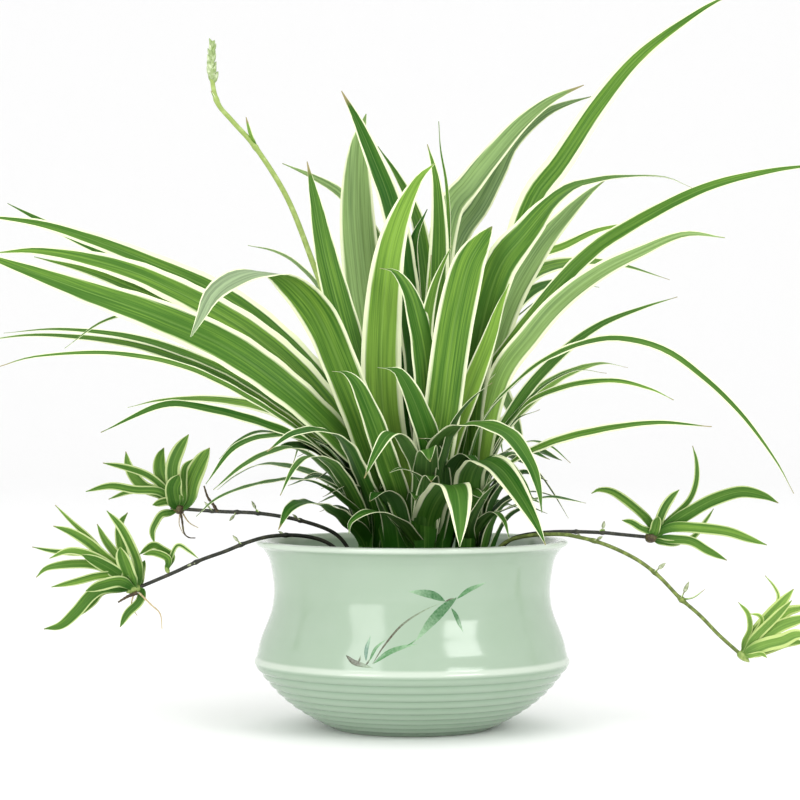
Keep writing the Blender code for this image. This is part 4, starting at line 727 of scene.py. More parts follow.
def striped_leaf(name, settings, lift=0.0, pale=0.0, margin_color=None):
    """Spider plant leaf, grown: a waxy green blade with cream margins and fine parallel veins.

    It gives the eye fine lighter and darker lines along the blade, cream edges with a few stray
    stripes, a pale midrib, a greyer underside, a soft sheen and withered tips, and painted shade that
    darkens the blade towards its base and dims the cream at its foot. lift adds to every leaf's
    brightness, and pale is the share of the base's pale green all over it.
    """
    material, tree, shader = new_material(name, 0.48, 1.45, 0.15)
    spot = add_node(tree, "Attribute", "Vector", attribute_name="spot")
    across, along, under, tone, margin, dry = (
        add_node(tree, "Attribute", "Fac", attribute_name=trait)
        for trait in ("across", "along", "under", "tone", "margin", "dry"))
    # Veins about 0.9 mm apart, running on for some 60 mm, and broad bands about 4 mm wide
    fine = add_node(tree, "Mapping", 0, {"Vector": spot, "Scale": (1.1, 0.016, 1.0)})
    vein = add_node(tree, "TexNoise", "Fac",
                    {"Vector": fine, "Scale": 1.0, "Detail": 3.0, "Roughness": 0.65})
    broad = add_node(tree, "Mapping", 0, {"Vector": spot, "Scale": (0.28, 0.012, 1.0)})
    band = add_node(tree, "TexNoise", "Fac", {"Vector": broad, "Scale": 1.0, "Detail": 1.0})
    outward = add_node(tree, "Math", 0, {0: across}, operation="ABSOLUTE")
    # The vein noise strays the margins' inner edge and throws off thin stripes
    stray = add_node(tree, "Math", 0, {0: vein, 1: 0.2, 2: outward}, operation="MULTIPLY_ADD")
    reach = add_node(tree, "Math", 0, {0: margin, 1: 1.35, 2: stray}, operation="MULTIPLY_ADD")
    # Smooth steps: what is read, where the step starts and ends, and its value at each. The first is
    # painted shade, darkening the leaf towards its base where the clump is dense, and the second is a
    # midrib a twentieth of it wide.
    steps = {}
    for step, value, start, end, low, high in (
            ("shade", along, 0.0, 0.3, -0.45, 0.0), ("rib", outward, 0.0, 0.09, 0.2, 0.0),
            ("outer", along, 0.25, 0.6, 0.0, 0.6), ("streaks", vein, 0.35, 0.62, 0.0, 1.0),
            # The sixth step is painted shade, which dims the cream margins towards the foot
            ("cream", reach, 1.03, 1.16, 0.0, 1.0), ("margin_shade", along, 0.1, 0.45, 0.25, 1.0),
            ("foot", along, 0.0, 0.08, 0.2 + pale, pale)):
        steps[step] = add_node(tree, "MapRange", "Result",
                               {"Value": value, "From Min": start, "From Max": end,
                                "To Min": low, "To Max": high}, interpolation_type="SMOOTHSTEP")
    # The green, by the veins, the bands, the painted shade of the base and the leaf's own brightness
    lines = add_node(tree, "Math", 0, {0: vein, 1: 1.1, 2: lift - 0.8}, operation="MULTIPLY_ADD")
    bands = add_node(tree, "Math", 0, {0: band, 1: 0.5, 2: lines}, operation="MULTIPLY_ADD")
    based = add_node(tree, "Math", 0, {0: bands, 1: steps["shade"]}, operation="ADD")
    level = add_node(tree, "Math", 0, {0: based, 1: tone}, operation="ADD", use_clamp=True)
    green = add_node(tree, "ValToRGB", "Color", {"Fac": level})
    stops = green.node.color_ramp.elements
    stops[0].position = 0.08
    stops[0].color = settings.dark_color
    stops[1].position = 0.9
    stops[1].color = settings.bright_color
    stops.new(0.48).color = settings.middle_color
    # The underside, grey with darker streaks
    below = add_node(tree, "Math", 0, {0: under, 1: steps["outer"]}, operation="MULTIPLY")
    shady = [0.55 * value for value in settings.under_color[:3]] + [1.0]
    grey = add_node(tree, "Mix", MIXED,
                    {"Factor": steps["streaks"], FIRST: shady, SECOND: settings.under_color},
                    data_type="RGBA")
    # The cream margins, dimmed towards the foot by painted shade
    creamy = add_node(tree, "Math", 0, {0: steps["cream"], 1: steps["margin_shade"]},
                      operation="MULTIPLY")
    # Over the green the midrib, the underside, the margins, dimmed at the foot by painted shade, the
    # pale base and the withered tip
    colour = green
    for share, layer in ((steps["rib"], settings.base_color), (below, grey),
                         (creamy, margin_color or settings.margin_color),
                         (steps["foot"], settings.base_color), (dry, settings.dry_color)):
        colour = add_node(tree, "Mix", MIXED, {"Factor": share, FIRST: colour, SECOND: layer},
                          data_type="RGBA")
    cover(tree, shader, colour, vein, 0.35, 0.25)
    return material


def placed(points):
    """Slide points of the front view along the eye's lines of sight to their depths.

    x and z are read in the plane y = 0. At depth y the same line lies further from the eye's
    axis by the factor 1 + y / distance.
    """
    points = np.array(points, float)
    factor = 1 - points[:, 1] / EYE[1]
    return np.column_stack([EYE[0] + (points[:, 0] - EYE[0]) * factor, points[:, 1],
                            EYE[2] + (points[:, 2] - EYE[2]) * factor]) * MM


def unit(vectors):
    """Bring a vector, or each row of an array of them, to length 1."""
    return vectors / np.linalg.norm(vectors, axis=-1, keepdims=True)


def smooth_route(points, samples=16):
    """Run a smooth curve through the points: cubic spans with the slopes of their neighbours."""
    points = np.asarray(points, float)
    knots = np.vstack([2 * points[0] - points[1], points, 2 * points[-1] - points[-2]])
    t = np.linspace(0, 1, samples, endpoint=False)[:, None]
    spans = [b + 0.5 * t * (c - a + t * (2 * a - 5 * b + 4 * c - d + t * (3 * (b - c) + d - a)))
             for a, b, c, d in zip(knots[:-3], knots[1:-2], knots[2:-1], knots[3:])]
    return np.vstack(spans + [points[-1:]])


def even_stations(curve, count):
    """Read a curve at even distances: points, unit directions, places from 0 to 1 and length."""
    along = np.concatenate([[0], np.cumsum(np.linalg.norm(np.diff(curve, axis=0), axis=1))])
    places = np.linspace(0, 1, count)
    points = np.column_stack([np.interp(places * along[-1], along, values) for values in curve.T])
    return points, unit(np.gradient(points, axis=0)), places, along[-1]


def leaf_frames(directions, places, turns, heading):
    """Give each station of a leaf its side and face directions.

    The side is level and square to the leaf's heading, made square to the direction there, and
    turned about it so that the upper face looks to the front by the given degrees. Without a
    heading the upper face looks to the front before it is turned.
    """
    to_front = 1.0
    if heading is None:
        sides = np.cross(directions, (0.0, 1.0, 0.0))
    else:
        side = np.array((-math.sin(heading), math.cos(heading), 0.0))
        sides = side - (directions @ side)[:, None] * directions
        if math.cos(heading) < -1e-6:
            to_front = -1.0
    sides = unit(sides)
    faces = np.cross(directions, sides)
    angle = np.radians(np.interp(places, np.linspace(0, 1, len(turns)), turns)) * to_front
    cosine = np.cos(angle)[:, None]
    sine = np.sin(angle)[:, None]
    return sides * cosine + faces * sine, faces * cosine - sides * sine


def ring_faces(rows, columns):
    """Join rows of closed rings with quads, and close both ends by quads across the ring."""
    row = np.arange(rows - 1)[:, None] * columns
    column = np.arange(columns)[None, :]
    after = (column + 1) % columns
    walls = np.stack([row + column, row + after, row + columns + after, row + columns + column],
                     axis=-1).reshape(-1, 4)
    step = np.arange(columns // 2 - 1)
    start = np.stack([columns - 1 - step, columns - 2 - step, step + 1, step], axis=-1)
    end = (rows - 1) * columns + start[:, ::-1]
    return np.vstack([walls, start, end])


# A closed surface: its vertices, its four-sided faces, its traits by name with a value for each
# vertex, and the place of its material in its piece's list
Shell = namedtuple("Shell", "vertices faces traits material", defaults=(0,))


def leaf_shell(curve, leaf, seed, base_ratio=0.45, base_fold=46.0, stations=56, ribs=9,
               dry_from=0.985, material=0, facing=False):
    """Make one closed leaf along a curve, on a grid of place s along it and place u across it.

    The half width is w (b + (1 - b) smooth(4 s)) (1 - ((s - 0.35) / 0.65) ^ fullness) / 2, or
    read from the leaf's shape. Across the leaf the section is a V with a rounded keel, height
    h (sqrt(u^2 + 0.03) - 0.17) less a small droop 0.16 u^4 at the edges, plus ripples
    sin(k s + p) |u|^3. The thickness falls with u^2 to the edge. A facing leaf turns its upper
    face to the front and not away from its heading.
    """
    settings = bpy.context.scene.spider_plant.leaf
    points, directions, places, length = even_stations(curve, stations)
    heading = leaf.heading
    if heading is not None:
        heading = math.radians(heading)
    elif not facing:
        reach = curve[-1] - curve[0]
        heading = math.atan2(reach[1], reach[0])
    sides, faces = leaf_frames(directions, places, leaf.turns, heading)
    draw = random.Random(seed)
    # The outline
    rise = np.clip(places / BASE_END, 0, 1)
    swell = base_ratio + (1 - base_ratio) * rise * rise * (3 - 2 * rise)
    taper = 1 - np.clip((places - TAPER_START) / (1 - TAPER_START), 0, 1) ** leaf.fullness
    ratio = swell * taper
    if leaf.shape:
        ratio = np.interp(places, np.linspace(0, 1, len(leaf.shape)), leaf.shape)
    half = np.maximum(leaf.width * MM * ratio, LEAST_WIDTH * MM)[:, None] / 2
    # The section
    folds = (max(base_fold, leaf.fold), leaf.fold, leaf.fold / 2)
    angle = np.radians(np.interp(places, (0, BASE_END, 1), folds))[:, None]
    u = np.linspace(1, -1, ribs)
    keel = np.sqrt(u * u + KEEL_ROUNDING) - 0.17 - EDGE_DROOP * u ** 4
    waves = 0.0
    for pace, edge in ((1.0, u > 0), (1.13, u < 0)):
        turn = pace * length / (RIPPLE_LENGTH * MM) * places + draw.random()
        waves = waves + np.sin(2 * math.pi * turn)[:, None] * edge
    swing = settings.ripple * np.clip(half / (8 * MM), 0.2, 1)
    swing = swing * np.sin(math.pi * places)[:, None] ** 0.5
    out = half * np.cos(angle) * u
    up = half * np.sin(angle) * keel + waves * swing * np.abs(u) ** 3
    middle = points[:, None] + out[..., None] * sides[:, None] + up[..., None] * faces[:, None]
    normal = unit(np.cross(np.gradient(middle, axis=0), -np.gradient(middle, axis=1)))
    thick = settings.thickness * (0.45 + 0.55 * taper[:, None]) * (1 - 0.6 * u * u) / 2
    top = middle + thick[..., None] * normal
    bottom = middle - thick[..., None] * normal
    rings = np.concatenate([top, bottom[:, ::-1]], axis=1)
    # The traits. The spot is in millimetres across and along, each leaf in a layer of its own,
    # so that no two leaves have the same veins.
    grid = rings.shape[:2]
    across = np.broadcast_to(np.concatenate([u, u[::-1]]), grid)
    along = np.broadcast_to(places[:, None], grid)
    grey = GREY_HIDDEN
    if max(leaf.turns) > 100 or min(leaf.turns) < -30:
        grey = GREY_TURNED
    if max(leaf.turns) > 200:
        grey = GREY_BENT
    spot = np.stack([across * half / MM, along * length / MM, np.full(grid, 7.31 * (seed % 97))],
                    axis=-1)
    start = dry_from + draw.uniform(-0.02, 0.03)
    traits = {"across": across, "along": along, "spot": spot.reshape(-1, 3),
              "under": np.broadcast_to(np.repeat((0.0, grey), ribs), grid),
              "dry": np.clip((along - start + 0.006 * np.abs(across)) / 0.02, 0, 1) * 0.8,
              "tone": np.full(grid, leaf.tone + draw.uniform(-0.04, 0.04)),
              "margin": leaf.margin - 0.2 * (1 - np.clip(along / 0.35, 0, 1))}
    return Shell(rings.reshape(-1, 3), ring_faces(stations, 2 * ribs), traits, material)


def plain_traits(count, tone=0.5, along=0.5):
    """Give a surface that is not a leaf the traits of one even spot of a leaf."""
    flat = {"across": 0.3, "along": along, "under": 0.0, "dry": 0.0, "tone": tone, "margin": 0.0}
    traits = {name: np.full(count, value) for name, value in flat.items()}
    traits["spot"] = np.zeros((count, 3))
    return traits


def stem_shell(curve, radii, sides=12, stations=80, material=0):
    """Carry a circle along a curve; radii are its radius at each of the stations.

    The circle lies square to the curve, r (cos a, sin a) on the direction square to the depth
    axis and the one square to both.
    """
    points, directions = even_stations(curve, stations)[:2]
    level = unit(np.cross(directions, (0.0, 1.0, 0.0)))
    upright = np.cross(directions, level)
    angle = np.linspace(0, 2 * math.pi, sides, endpoint=False)[:, None]
    radii = np.broadcast_to(radii, stations)[:, None, None]
    rings = points[:, None] + radii * (np.cos(angle) * level[:, None]
                                       + np.sin(angle) * upright[:, None])
    return Shell(rings.reshape(-1, 3), ring_faces(stations, sides),
                 plain_traits(stations * sides), material)


def bud_shell(root, ray, width, material, sides=8):
    """Make a closed pod from a root along a ray; its radius is w sin(pi s^0.7)^0.7 / 2."""
    places = np.linspace(0, 1, 9)
    pod = np.sin(math.pi * np.clip(places, 0, 0.999) ** 0.7) ** 0.7
    radii = np.maximum(width / 2 * pod, 0.12 * MM)
    return stem_shell(root + places[:, None] * ray, radii, sides, 9, material)


def crumb_shell(centres, radii, seed):
    """Make small uneven lumps on a grid of angles, each squashed and turned by a seeded draw.

    A point is at r (sin a cos b, sin a sin b, cos a) times 1 + 0.25 noise, then scaled on each
    axis. Twenty faces or so make one lump.
    """
    draw = np.random.default_rng(seed)
    count = len(centres)
    rows, columns = CRUMB_GRID
    polar = np.linspace(0.12, math.pi - 0.12, rows)[:, None]
    turn = np.linspace(0, 2 * math.pi, columns, endpoint=False)[None, :]
    ball = np.stack([np.sin(polar) * np.cos(turn), np.sin(polar) * np.sin(turn),
                     -np.cos(polar) * np.ones_like(turn)], axis=-1).reshape(-1, 3)
    ball = ball * (1 + 0.25 * draw.uniform(-1, 1, (count, rows * columns, 1)))
    ball = ball * draw.uniform(0.6, 1.3, (count, 1, 3)) * np.reshape(radii, (count, 1, 1))
    spin = draw.uniform(0, 2 * math.pi, count)
    cosine = np.cos(spin)[:, None]
    sine = np.sin(spin)[:, None]
    turned = np.stack([ball[..., 0] * cosine - ball[..., 1] * sine,
                       ball[..., 0] * sine + ball[..., 1] * cosine, ball[..., 2]], axis=-1)
    vertices = turned + np.reshape(centres, (count, 1, 3))
    starts = (np.arange(count) * rows * columns)[:, None, None]
    faces = ring_faces(rows, columns)[None] + starts
    return Shell(vertices.reshape(-1, 3), faces.reshape(-1, 4), {})


def lathe_shell(radii, heights, columns, traits, place=(0.0, 0.0)):
    """Turn a section about Z: (r cos a + x, r sin a + y, z), from the lowest middle outwards."""
    angle = np.linspace(0, 2 * math.pi, columns, endpoint=False)
    radii = np.asarray(radii)[:, None]
    heights = np.broadcast_to(np.asarray(heights)[:, None], (len(heights), columns))
    rings = np.stack([radii * np.cos(angle) + place[0], radii * np.sin(angle) + place[1],
                      heights], axis=-1)
    spread = {name: np.repeat(values, columns, axis=0) for name, values in traits.items()}
    return Shell(rings.reshape(-1, 3), ring_faces(len(heights), columns), spread)


def build_piece(name, shells, materials, nodes=(), sharp=50.0):
    """Put closed shells into one mesh with their traits, and hang it on the plant's body."""
    sizes = [len(shell.vertices) for shell in shells]
    starts = np.concatenate([[0], np.cumsum(sizes)[:-1]])
    vertices = np.vstack([shell.vertices for shell in shells])
    faces = np.vstack([shell.faces + start for shell, start in zip(shells, starts)])
    places = np.concatenate([np.full(len(shell.faces), shell.material) for shell in shells])
    mesh = bpy.data.meshes.new(name)
    mesh.vertices.add(len(vertices))
    mesh.vertices.foreach_set("co", vertices.astype(np.float32).ravel())
    mesh.loops.add(faces.size)
    mesh.loops.foreach_set("vertex_index", faces.astype(np.int32).ravel())
    mesh.polygons.add(len(faces))
    mesh.polygons.foreach_set("loop_start", np.arange(0, faces.size, 4, dtype=np.int32))
    mesh.polygons.foreach_set("loop_total", np.full(len(faces), 4, dtype=np.int32))
    for material in materials:
        mesh.materials.append(material)
    mesh.polygons.foreach_set("material_index", places.astype(np.int32))
    mesh.update(calc_edges=True)
    if mesh.validate():
        raise RuntimeError(name + " has faces that Blender had to repair")
    for trait in shells[0].traits:
        values = np.concatenate([np.reshape(shell.traits[trait], (size, -1))
                                 for shell, size in zip(shells, sizes)])
        kind, field = ("FLOAT_VECTOR", "vector") if trait == "spot" else ("FLOAT", "value")
        mesh.attributes.new(trait, kind, "POINT").data.foreach_set(
            field, values.astype(np.float32).ravel())
    mesh.shade_smooth()
    mesh.set_sharp_from_angle(angle=math.radians(sharp))
    piece = bpy.data.objects.new(name, mesh)
    bpy.context.scene.collection.objects.link(piece)
    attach(piece, "root")
    if nodes:
        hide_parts(*nodes)


def pot_section(settings):
    """Give the pot's section from the middle of its foot over the rim to the middle of its floor.

    The bowl is a straight line bulged by sin(pi t), cut square to itself by the rib depth times
    1 - |sin(9 pi t)| ^ 1.1. The waist, the lip and the inside are smooth curves through the
    turned points. Returned with it are where the glaze is thin, pooled and bare, 0 to 1.
    """
    t = np.linspace(0.002, 1, 145)
    rib = 1 - np.abs(np.sin(RIB_COUNT * math.pi * t)) ** 1.1
    depth = settings.rib_depth / MM
    bulge = 2.52 * np.sin(math.pi * t)
    bowl = np.column_stack([45 + t * 37.5 + bulge - 0.64 * depth * rib,
                            1.5 + t * 31.6 - bulge + 0.77 * depth * rib])
    wall = np.vstack([POT_FOOT, bowl, smooth_route(POT_SHOULDER, 5), smooth_route(POT_WAIST, 5)])
    section = np.vstack([wall, smooth_route(POT_LIP, 5), smooth_route(POT_INSIDE, 4)])
    radii, heights = section.T
    # The glaze is thin on the wall's shoulder, 36 mm up, and on the lip, and the foot is bare
    shoulder = (np.arange(len(section)) < len(wall)) * (heights > 33.6)
    thin = np.exp(-((heights - 36.0) / 1.5) ** 4) * shoulder
    thin = np.maximum(thin, np.clip((heights - 94.4) / 1.4, 0, 1))
    pool = np.zeros(len(section))
    pool[len(POT_FOOT):len(POT_FOOT) + len(bowl)] = 0.55 * rib ** 1.4
    bare = np.zeros(len(section))
    bare[4:7] = 1.0
    return radii * MM, heights * MM, {"edge": thin, "pool": pool, "bare": bare}


def stroke_shell(line, width, settings, material):
    """Make one brush stroke on the wall: a lens section carried along a line.

    The line is in arc from the pot's front and height. Its half width is
    w sin(pi s^0.8) ^ 0.9 / 2, and it stands h (1 - 1.5 u^2) off the wall, over a flat underside
    that is sunk in it. A point at arc a and radius r is at (r sin(a / r), -r cos(a / r)).
    """
    radii, heights = pot_section(settings)[:2]
    outside = slice(20, int(np.argmax(heights)))
    order = np.argsort(heights[outside])
    points, directions, places = even_stations(smooth_route(np.array(line) * MM), 28)[:3]
    brush = np.maximum(np.sin(math.pi * np.clip(places, 0.01, 0.985) ** 0.8), 0) ** 0.9
    half = np.maximum(width * MM / 2 * brush, STROKE_TIP * MM)
    u = np.linspace(1, -1, 9)
    across = np.column_stack([directions[:, 1], -directions[:, 0]])
    top = points[:, None] + (half[:, None] * u)[..., None] * across[:, None]
    flat = np.concatenate([top, top[:, ::-1]], axis=1)
    lift = np.concatenate([settings.stroke_height * (1 - 1.5 * u * u),
                           np.full(len(u), -STROKE_SINK * MM)])
    wall = np.interp(flat[..., 1], heights[outside][order], radii[outside][order])
    turn = flat[..., 0] / wall
    rings = np.stack([(wall + lift) * np.sin(turn), -(wall + lift) * np.cos(turn), flat[..., 1]],
                     axis=-1)
    fade = np.repeat(np.clip(places - 0.35, 0, 1) ** 1.3 - 0.12, 2 * len(u))
    return Shell(rings.reshape(-1, 3), ring_faces(28, 18), {"fade": fade}, material)


def arch_route(start, heading, reach, height, out, up):
    """Give the points of an arch: shares of its reach along its heading, and of its height."""
    x, y, z = start
    out = np.array(out) * reach
    return np.column_stack([x + out * math.cos(heading), y + out * math.sin(heading),
                            z + np.array(up) * height])


def rear_fan():
    """Draw the leaves that arch to the rear, from a seeded rule."""
    draw = random.Random(REAR_FAN_SEED)
    look = random.Random(REAR_FAN_SEED + 1)
    first, last = REAR_FAN_HEADINGS
    leaves = []
    for index in range(REAR_FAN_COUNT):
        share = (index + draw.uniform(0.2, 0.8)) / REAR_FAN_COUNT
        heading = math.radians(first + share * (last - first))
        length = draw.uniform(*REAR_FAN_LENGTHS)
        width = draw.uniform(*REAR_FAN_WIDTHS)
        height = length * draw.uniform(*REAR_FAN_LIFTS)
        route = arch_route((*CROWN_PLACES["back"], LEAF_START), heading, length, height,
                           REAR_FAN_OUT, REAR_FAN_UP)
        leaves.append(Leaf(width, (0, draw.uniform(-15, 15), draw.uniform(-25, 25)),
                           look.uniform(0.3, 0.7), look.uniform(0.12, 0.22), route))
    return leaves


def low_leaves():
    """Draw the short dark leaves round the foot of the clump, from a seeded rule."""
    draw = random.Random(LOW_LEAF_SEED)
    shells = []
    for index in range(LOW_LEAF_COUNT):
        heading = 2 * math.pi * (index + draw.uniform(-0.35, 0.35)) / LOW_LEAF_COUNT
        length = draw.uniform(*LOW_LEAF_LENGTHS)
        lean = draw.uniform(*LOW_LEAF_LEANS)
        near = draw.uniform(*LOW_LEAF_PLACES)
        start = (CLUMP_MIDDLE[0] + near * CLUMP_REACH[0] * math.cos(heading),
                 CLUMP_MIDDLE[1] + near * CLUMP_REACH[1] * math.sin(heading), CROWN_FOOT)
        route = arch_route(start, heading, lean * length, length, LOW_LEAF_OUT, LOW_LEAF_UP)
        leaf = Leaf(draw.uniform(*LOW_LEAF_WIDTHS), (0, draw.uniform(-25, 25)),
                    draw.uniform(0.0, 0.35), draw.uniform(0.03, 0.08), route)
        shells.append(leaf_shell(smooth_route(route * MM), leaf, 600 + index, stations=40))
    return shells


def make_rosette(name, leaves, material, seed, extra=()):
    """Make a rosette: its leaves, clasping each other at the soil around a short core."""
    crown = np.array(CROWN_PLACES[name]) * MM
    root_radius = LEAF_ROOT_RADIUS * MM
    shells = []
    for index, leaf in enumerate(leaves):
        route = placed(leaf.route)
        away = route[0, :2] - crown
        away *= root_radius / max(np.linalg.norm(away), root_radius)
        route = np.vstack([[*(crown + 0.8 * away), CROWN_FOOT * MM],
                           [*(crown + away), LEAF_START * MM], route])
        shells.append(leaf_shell(smooth_route(route), leaf, seed + index))
    shells.append(lathe_shell(np.array(CORE_RADII) * MM, np.array(CORE_HEIGHTS) * MM, 20,
                              plain_traits(len(CORE_RADII), 0.45, 0.04), crown))
    build_piece("leaves_" + name, [*shells, *extra], [material], ["rosette_" + name])


def at_share(curve, share):
    """Return the point that lies a share of the curve's length along it."""
    points = even_stations(curve, 400)[0]
    return points[round(share * 399)]


def scale_shell(curve, scale, seed, material):
    """Make a small scale or bract that stands out of a stem."""
    share, length, width, direction = scale
    root = at_share(curve, share)
    ray = unit(np.array(direction)) * length * MM
    bend = np.array((0, 0, 0.12 * length * MM))
    route = smooth_route(np.vstack([root, root + 0.5 * ray - bend, root + ray]), 8)
    return leaf_shell(route, Leaf(width, (0, 0), 0.6, 0.12, route), seed, base_ratio=0.8,
                      stations=14, ribs=7, dry_from=0.8, material=material)


def swollen(radii, scales, rise, spread):
    """Thicken a stem by 1 + rise exp(-((s - place) / spread)^2) at the place of each scale."""
    places = np.linspace(0, 1, len(radii))
    for scale in scales:
        radii = radii * (1 + rise * np.exp(-((places - scale[0]) / spread) ** 2))
    return radii


def runner_curve(name):
    """Return a runner's curve, from the soil into its plantlet's knot."""
    return smooth_route(placed(RUNNERS[name]))


def knot_place(name):
    """Return the middle of a plantlet's knot and the direction of its axis."""
    if name in RUNNERS:
        curve = runner_curve(name)
        return curve[-1], unit(curve[-1] - curve[-5])
    runner, share, lift = SIDE_SEATS[name]
    curve = runner_curve(runner)
    step = round(share * (len(curve) - 1))
    along = unit(curve[step + 1] - curve[step - 1])
    axis = unit(np.array((0.0, 0.0, 1.0)) - along[2] * along)
    return curve[step] + lift * MM * axis, axis


def make_runner(name, bark, scale_skin, bud_skin, settings):
    """Make a runner, swollen at its joints, with a scale and, on most, a stalked bud at each."""
    curve = runner_curve(name)
    radii = settings.runner_radius * (1 - 0.1 * np.linspace(0, 1, 140))
    radii = swollen(radii, STEM_SCALES[name], 0.4, 0.009)
    shells = [stem_shell(curve, radii, 12, 140)]
    for index, (share, length, width, direction) in enumerate(STEM_SCALES[name]):
        budless = length > LONGEST_BUD
        scale = (share, length if budless else 0.4 * length, 0.8 * width if budless else width,
                 direction)
        shells.append(scale_shell(curve, scale, 700 + index, 1))
        if budless:
            continue
        root = at_share(curve, share)
        ray = unit(np.array(direction)) * length * MM
        stalk = np.array((root, root + 0.25 * ray, root + 0.5 * ray))
        shells.append(stem_shell(stalk, 0.35 * MM, 6, 6, 2))
        shells.append(bud_shell(root + 0.4 * ray, 0.7 * ray, 0.55 * width * MM, 2, 10))
    build_piece("runner_" + name + "_skin", shells, [bark, scale_skin, bud_skin],
                ["runner_" + name])


def make_plantlet(name, materials, seed):
    """Make a plantlet: small arched leaves from a knot, with its loose roots and dry stalks.

    Its materials are those of a leaf, the knot, a root and a dry stalk.
    """
    radius, leaves = PLANTLETS[name]
    radius *= MM
    centre, axis = knot_place(name)
    tone, least, most = YOUNG_LOOK if name == YOUNG else PLANTLET_LOOK
    shells = []
    for index, (width, behind, route) in enumerate(leaves):
        depths = np.linspace(0, behind, len(route) + 1)[1:] + centre[1] / MM
        points = placed([(x, depth, z) for (x, z), depth in zip(route, depths)])
        root = centre + 0.3 * radius * unit(points[0] - centre)
        # Turned by -24 to 24 degrees in five steps, and brighter or darker by a seeded draw
        turn = 12 * (index % 5) - 24
        draw = random.Random(seed + index)
        leaf = Leaf(1.15 * width, (turn, turn), tone + draw.uniform(-0.12, 0.12),
                    draw.uniform(least, most) + 0.45 / width, route, fold=12.0, fullness=4.0)
        shells.append(leaf_shell(smooth_route(np.vstack([root, points]), 12), leaf, seed + index,
                                 base_ratio=0.6, base_fold=40.0, stations=30, ribs=7,
                                 facing=True))
    knot_width = radius * (1.4 if name.endswith("upper") else 1.0)
    shells.append(bud_shell(centre - 0.8 * radius * axis, 2 * radius * axis, knot_width, 1, 14))
    # Roots and stalks thin to two fifths, and are knobbly by an eighth
    places = np.linspace(0, 1, 24)
    for thickness, dry, route in ROOTS.get(name, ()):
        radii = thickness * MM * (1 - 0.6 * places) * (1 + 0.12 * np.sin(40 * places))
        shells.append(stem_shell(smooth_route(placed(route), 10), radii, 8, 24, 3 if dry else 2))
    build_piece("plantlet_" + name + "_leaves", shells, materials,
                ["plantlet_" + name])


class SPIDER_OT_pot(bpy.types.Operator):
    """Turn the glazed bowl from its section."""

    bl_idname = "spider_plant.pot"
    bl_label = "Make the pot"

    def execute(self, context):
        settings = context.scene.spider_plant.pot
        radii, heights, traits = pot_section(settings)
        build_piece("pot_glazed", [lathe_shell(radii, heights, 192, traits)],
                    [celadon_glaze(settings)], ["pot"], 60.0)
        return {"FINISHED"}


class SPIDER_OT_sprig(bpy.types.Operator):
    """Paint the sprig on the front of the bowl, stroke by stroke."""

    bl_idname = "spider_plant.sprig"
    bl_label = "Paint the sprig"

    def execute(self, context):
        settings = context.scene.spider_plant.pot
        names = ("leaf", "young", "stem", "root", "ink")
        materials = [brush_colour("underglaze_" + name, getattr(settings, "sprig_" + name + "_color"))
                     for name in names]
        shells = [stroke_shell(line, width, settings, names.index(kind))
                  for kind, width, line in SPRIG]
        build_piece("pot_painting", shells, materials)
        return {"FINISHED"}


class SPIDER_OT_soil(bpy.types.Operator):
    """Fill the bowl with uneven soil and strew crumbs on it."""

    bl_idname = "spider_plant.soil"
    bl_label = "Fill in the soil"

    def execute(self, context):
        settings = context.scene.spider_plant.soil
        # The body, with a mounded top from its edge to the middle
        reach = np.linspace(SOIL_SIDE[-1][0], SOIL_SIDE[0][0], 60)
        top = SOIL_HEIGHT + SOIL_MOUND * (1 - (reach / SOIL_RADIUS) ** 2)
        section = np.vstack([SOIL_SIDE, np.column_stack([reach, top])]) * MM
        columns = 180
        body = lathe_shell(section[:, 0], section[:, 1], columns, {})
        # Its lumps, faded out over the last 4 mm before the wall
        draw = np.random.default_rng(5)
        heading = draw.uniform(0, 2 * math.pi, LUMP_WAVES)
        pitch = draw.uniform(*LUMP_LENGTHS, LUMP_WAVES) * MM
        phase = draw.uniform(0, 2 * math.pi, LUMP_WAVES)
        spots = body.vertices[len(SOIL_SIDE) * columns:]
        waves = np.sin((spots[:, :1] * np.cos(heading) + spots[:, 1:2] * np.sin(heading))
                       * 2 * math.pi / pitch + phase)
        inner = np.clip((68.0 * MM - np.hypot(spots[:, 0], spots[:, 1])) / (4 * MM), 0, 1)
        spots[:, 2] += settings.roughness_height * waves.mean(axis=1) * 4 * inner
        # Its crumbs, partly sunk in it
        count = settings.crumb_count
        radius = np.sqrt(draw.uniform(0, 1, count)) * CRUMB_REACH
        turn = draw.uniform(0, 2 * math.pi, count)
        sizes = settings.crumb_size * draw.uniform(0.4, 1.5, count)
        level = CRUMB_HEIGHT + CRUMB_MOUND * (1 - (radius / SOIL_RADIUS) ** 2)
        centres = np.column_stack([radius * np.cos(turn), radius * np.sin(turn), level]) * MM
        centres[:, 2] += 0.2 * sizes
        build_piece("soil_surface", [body, crumb_shell(centres, sizes, 8)],
                    [moist_peat(settings)], ["soil"], 80.0)
        return {"FINISHED"}


class SPIDER_OT_leaves(bpy.types.Operator):
    """Grow the four rosettes of long striped leaves."""

    bl_idname = "spider_plant.leaves"
    bl_label = "Grow the leaves"

    def execute(self, context):
        material = striped_leaf("striped_leaf", context.scene.spider_plant.leaf)
        make_rosette("left", LEFT_LEAVES, material, 100)
        make_rosette("front", FRONT_LEAVES, material, 200, low_leaves())
        make_rosette("right", RIGHT_LEAVES, material, 300)
        make_rosette("back", BACK_LEAVES + rear_fan(), material, 400)
        return {"FINISHED"}


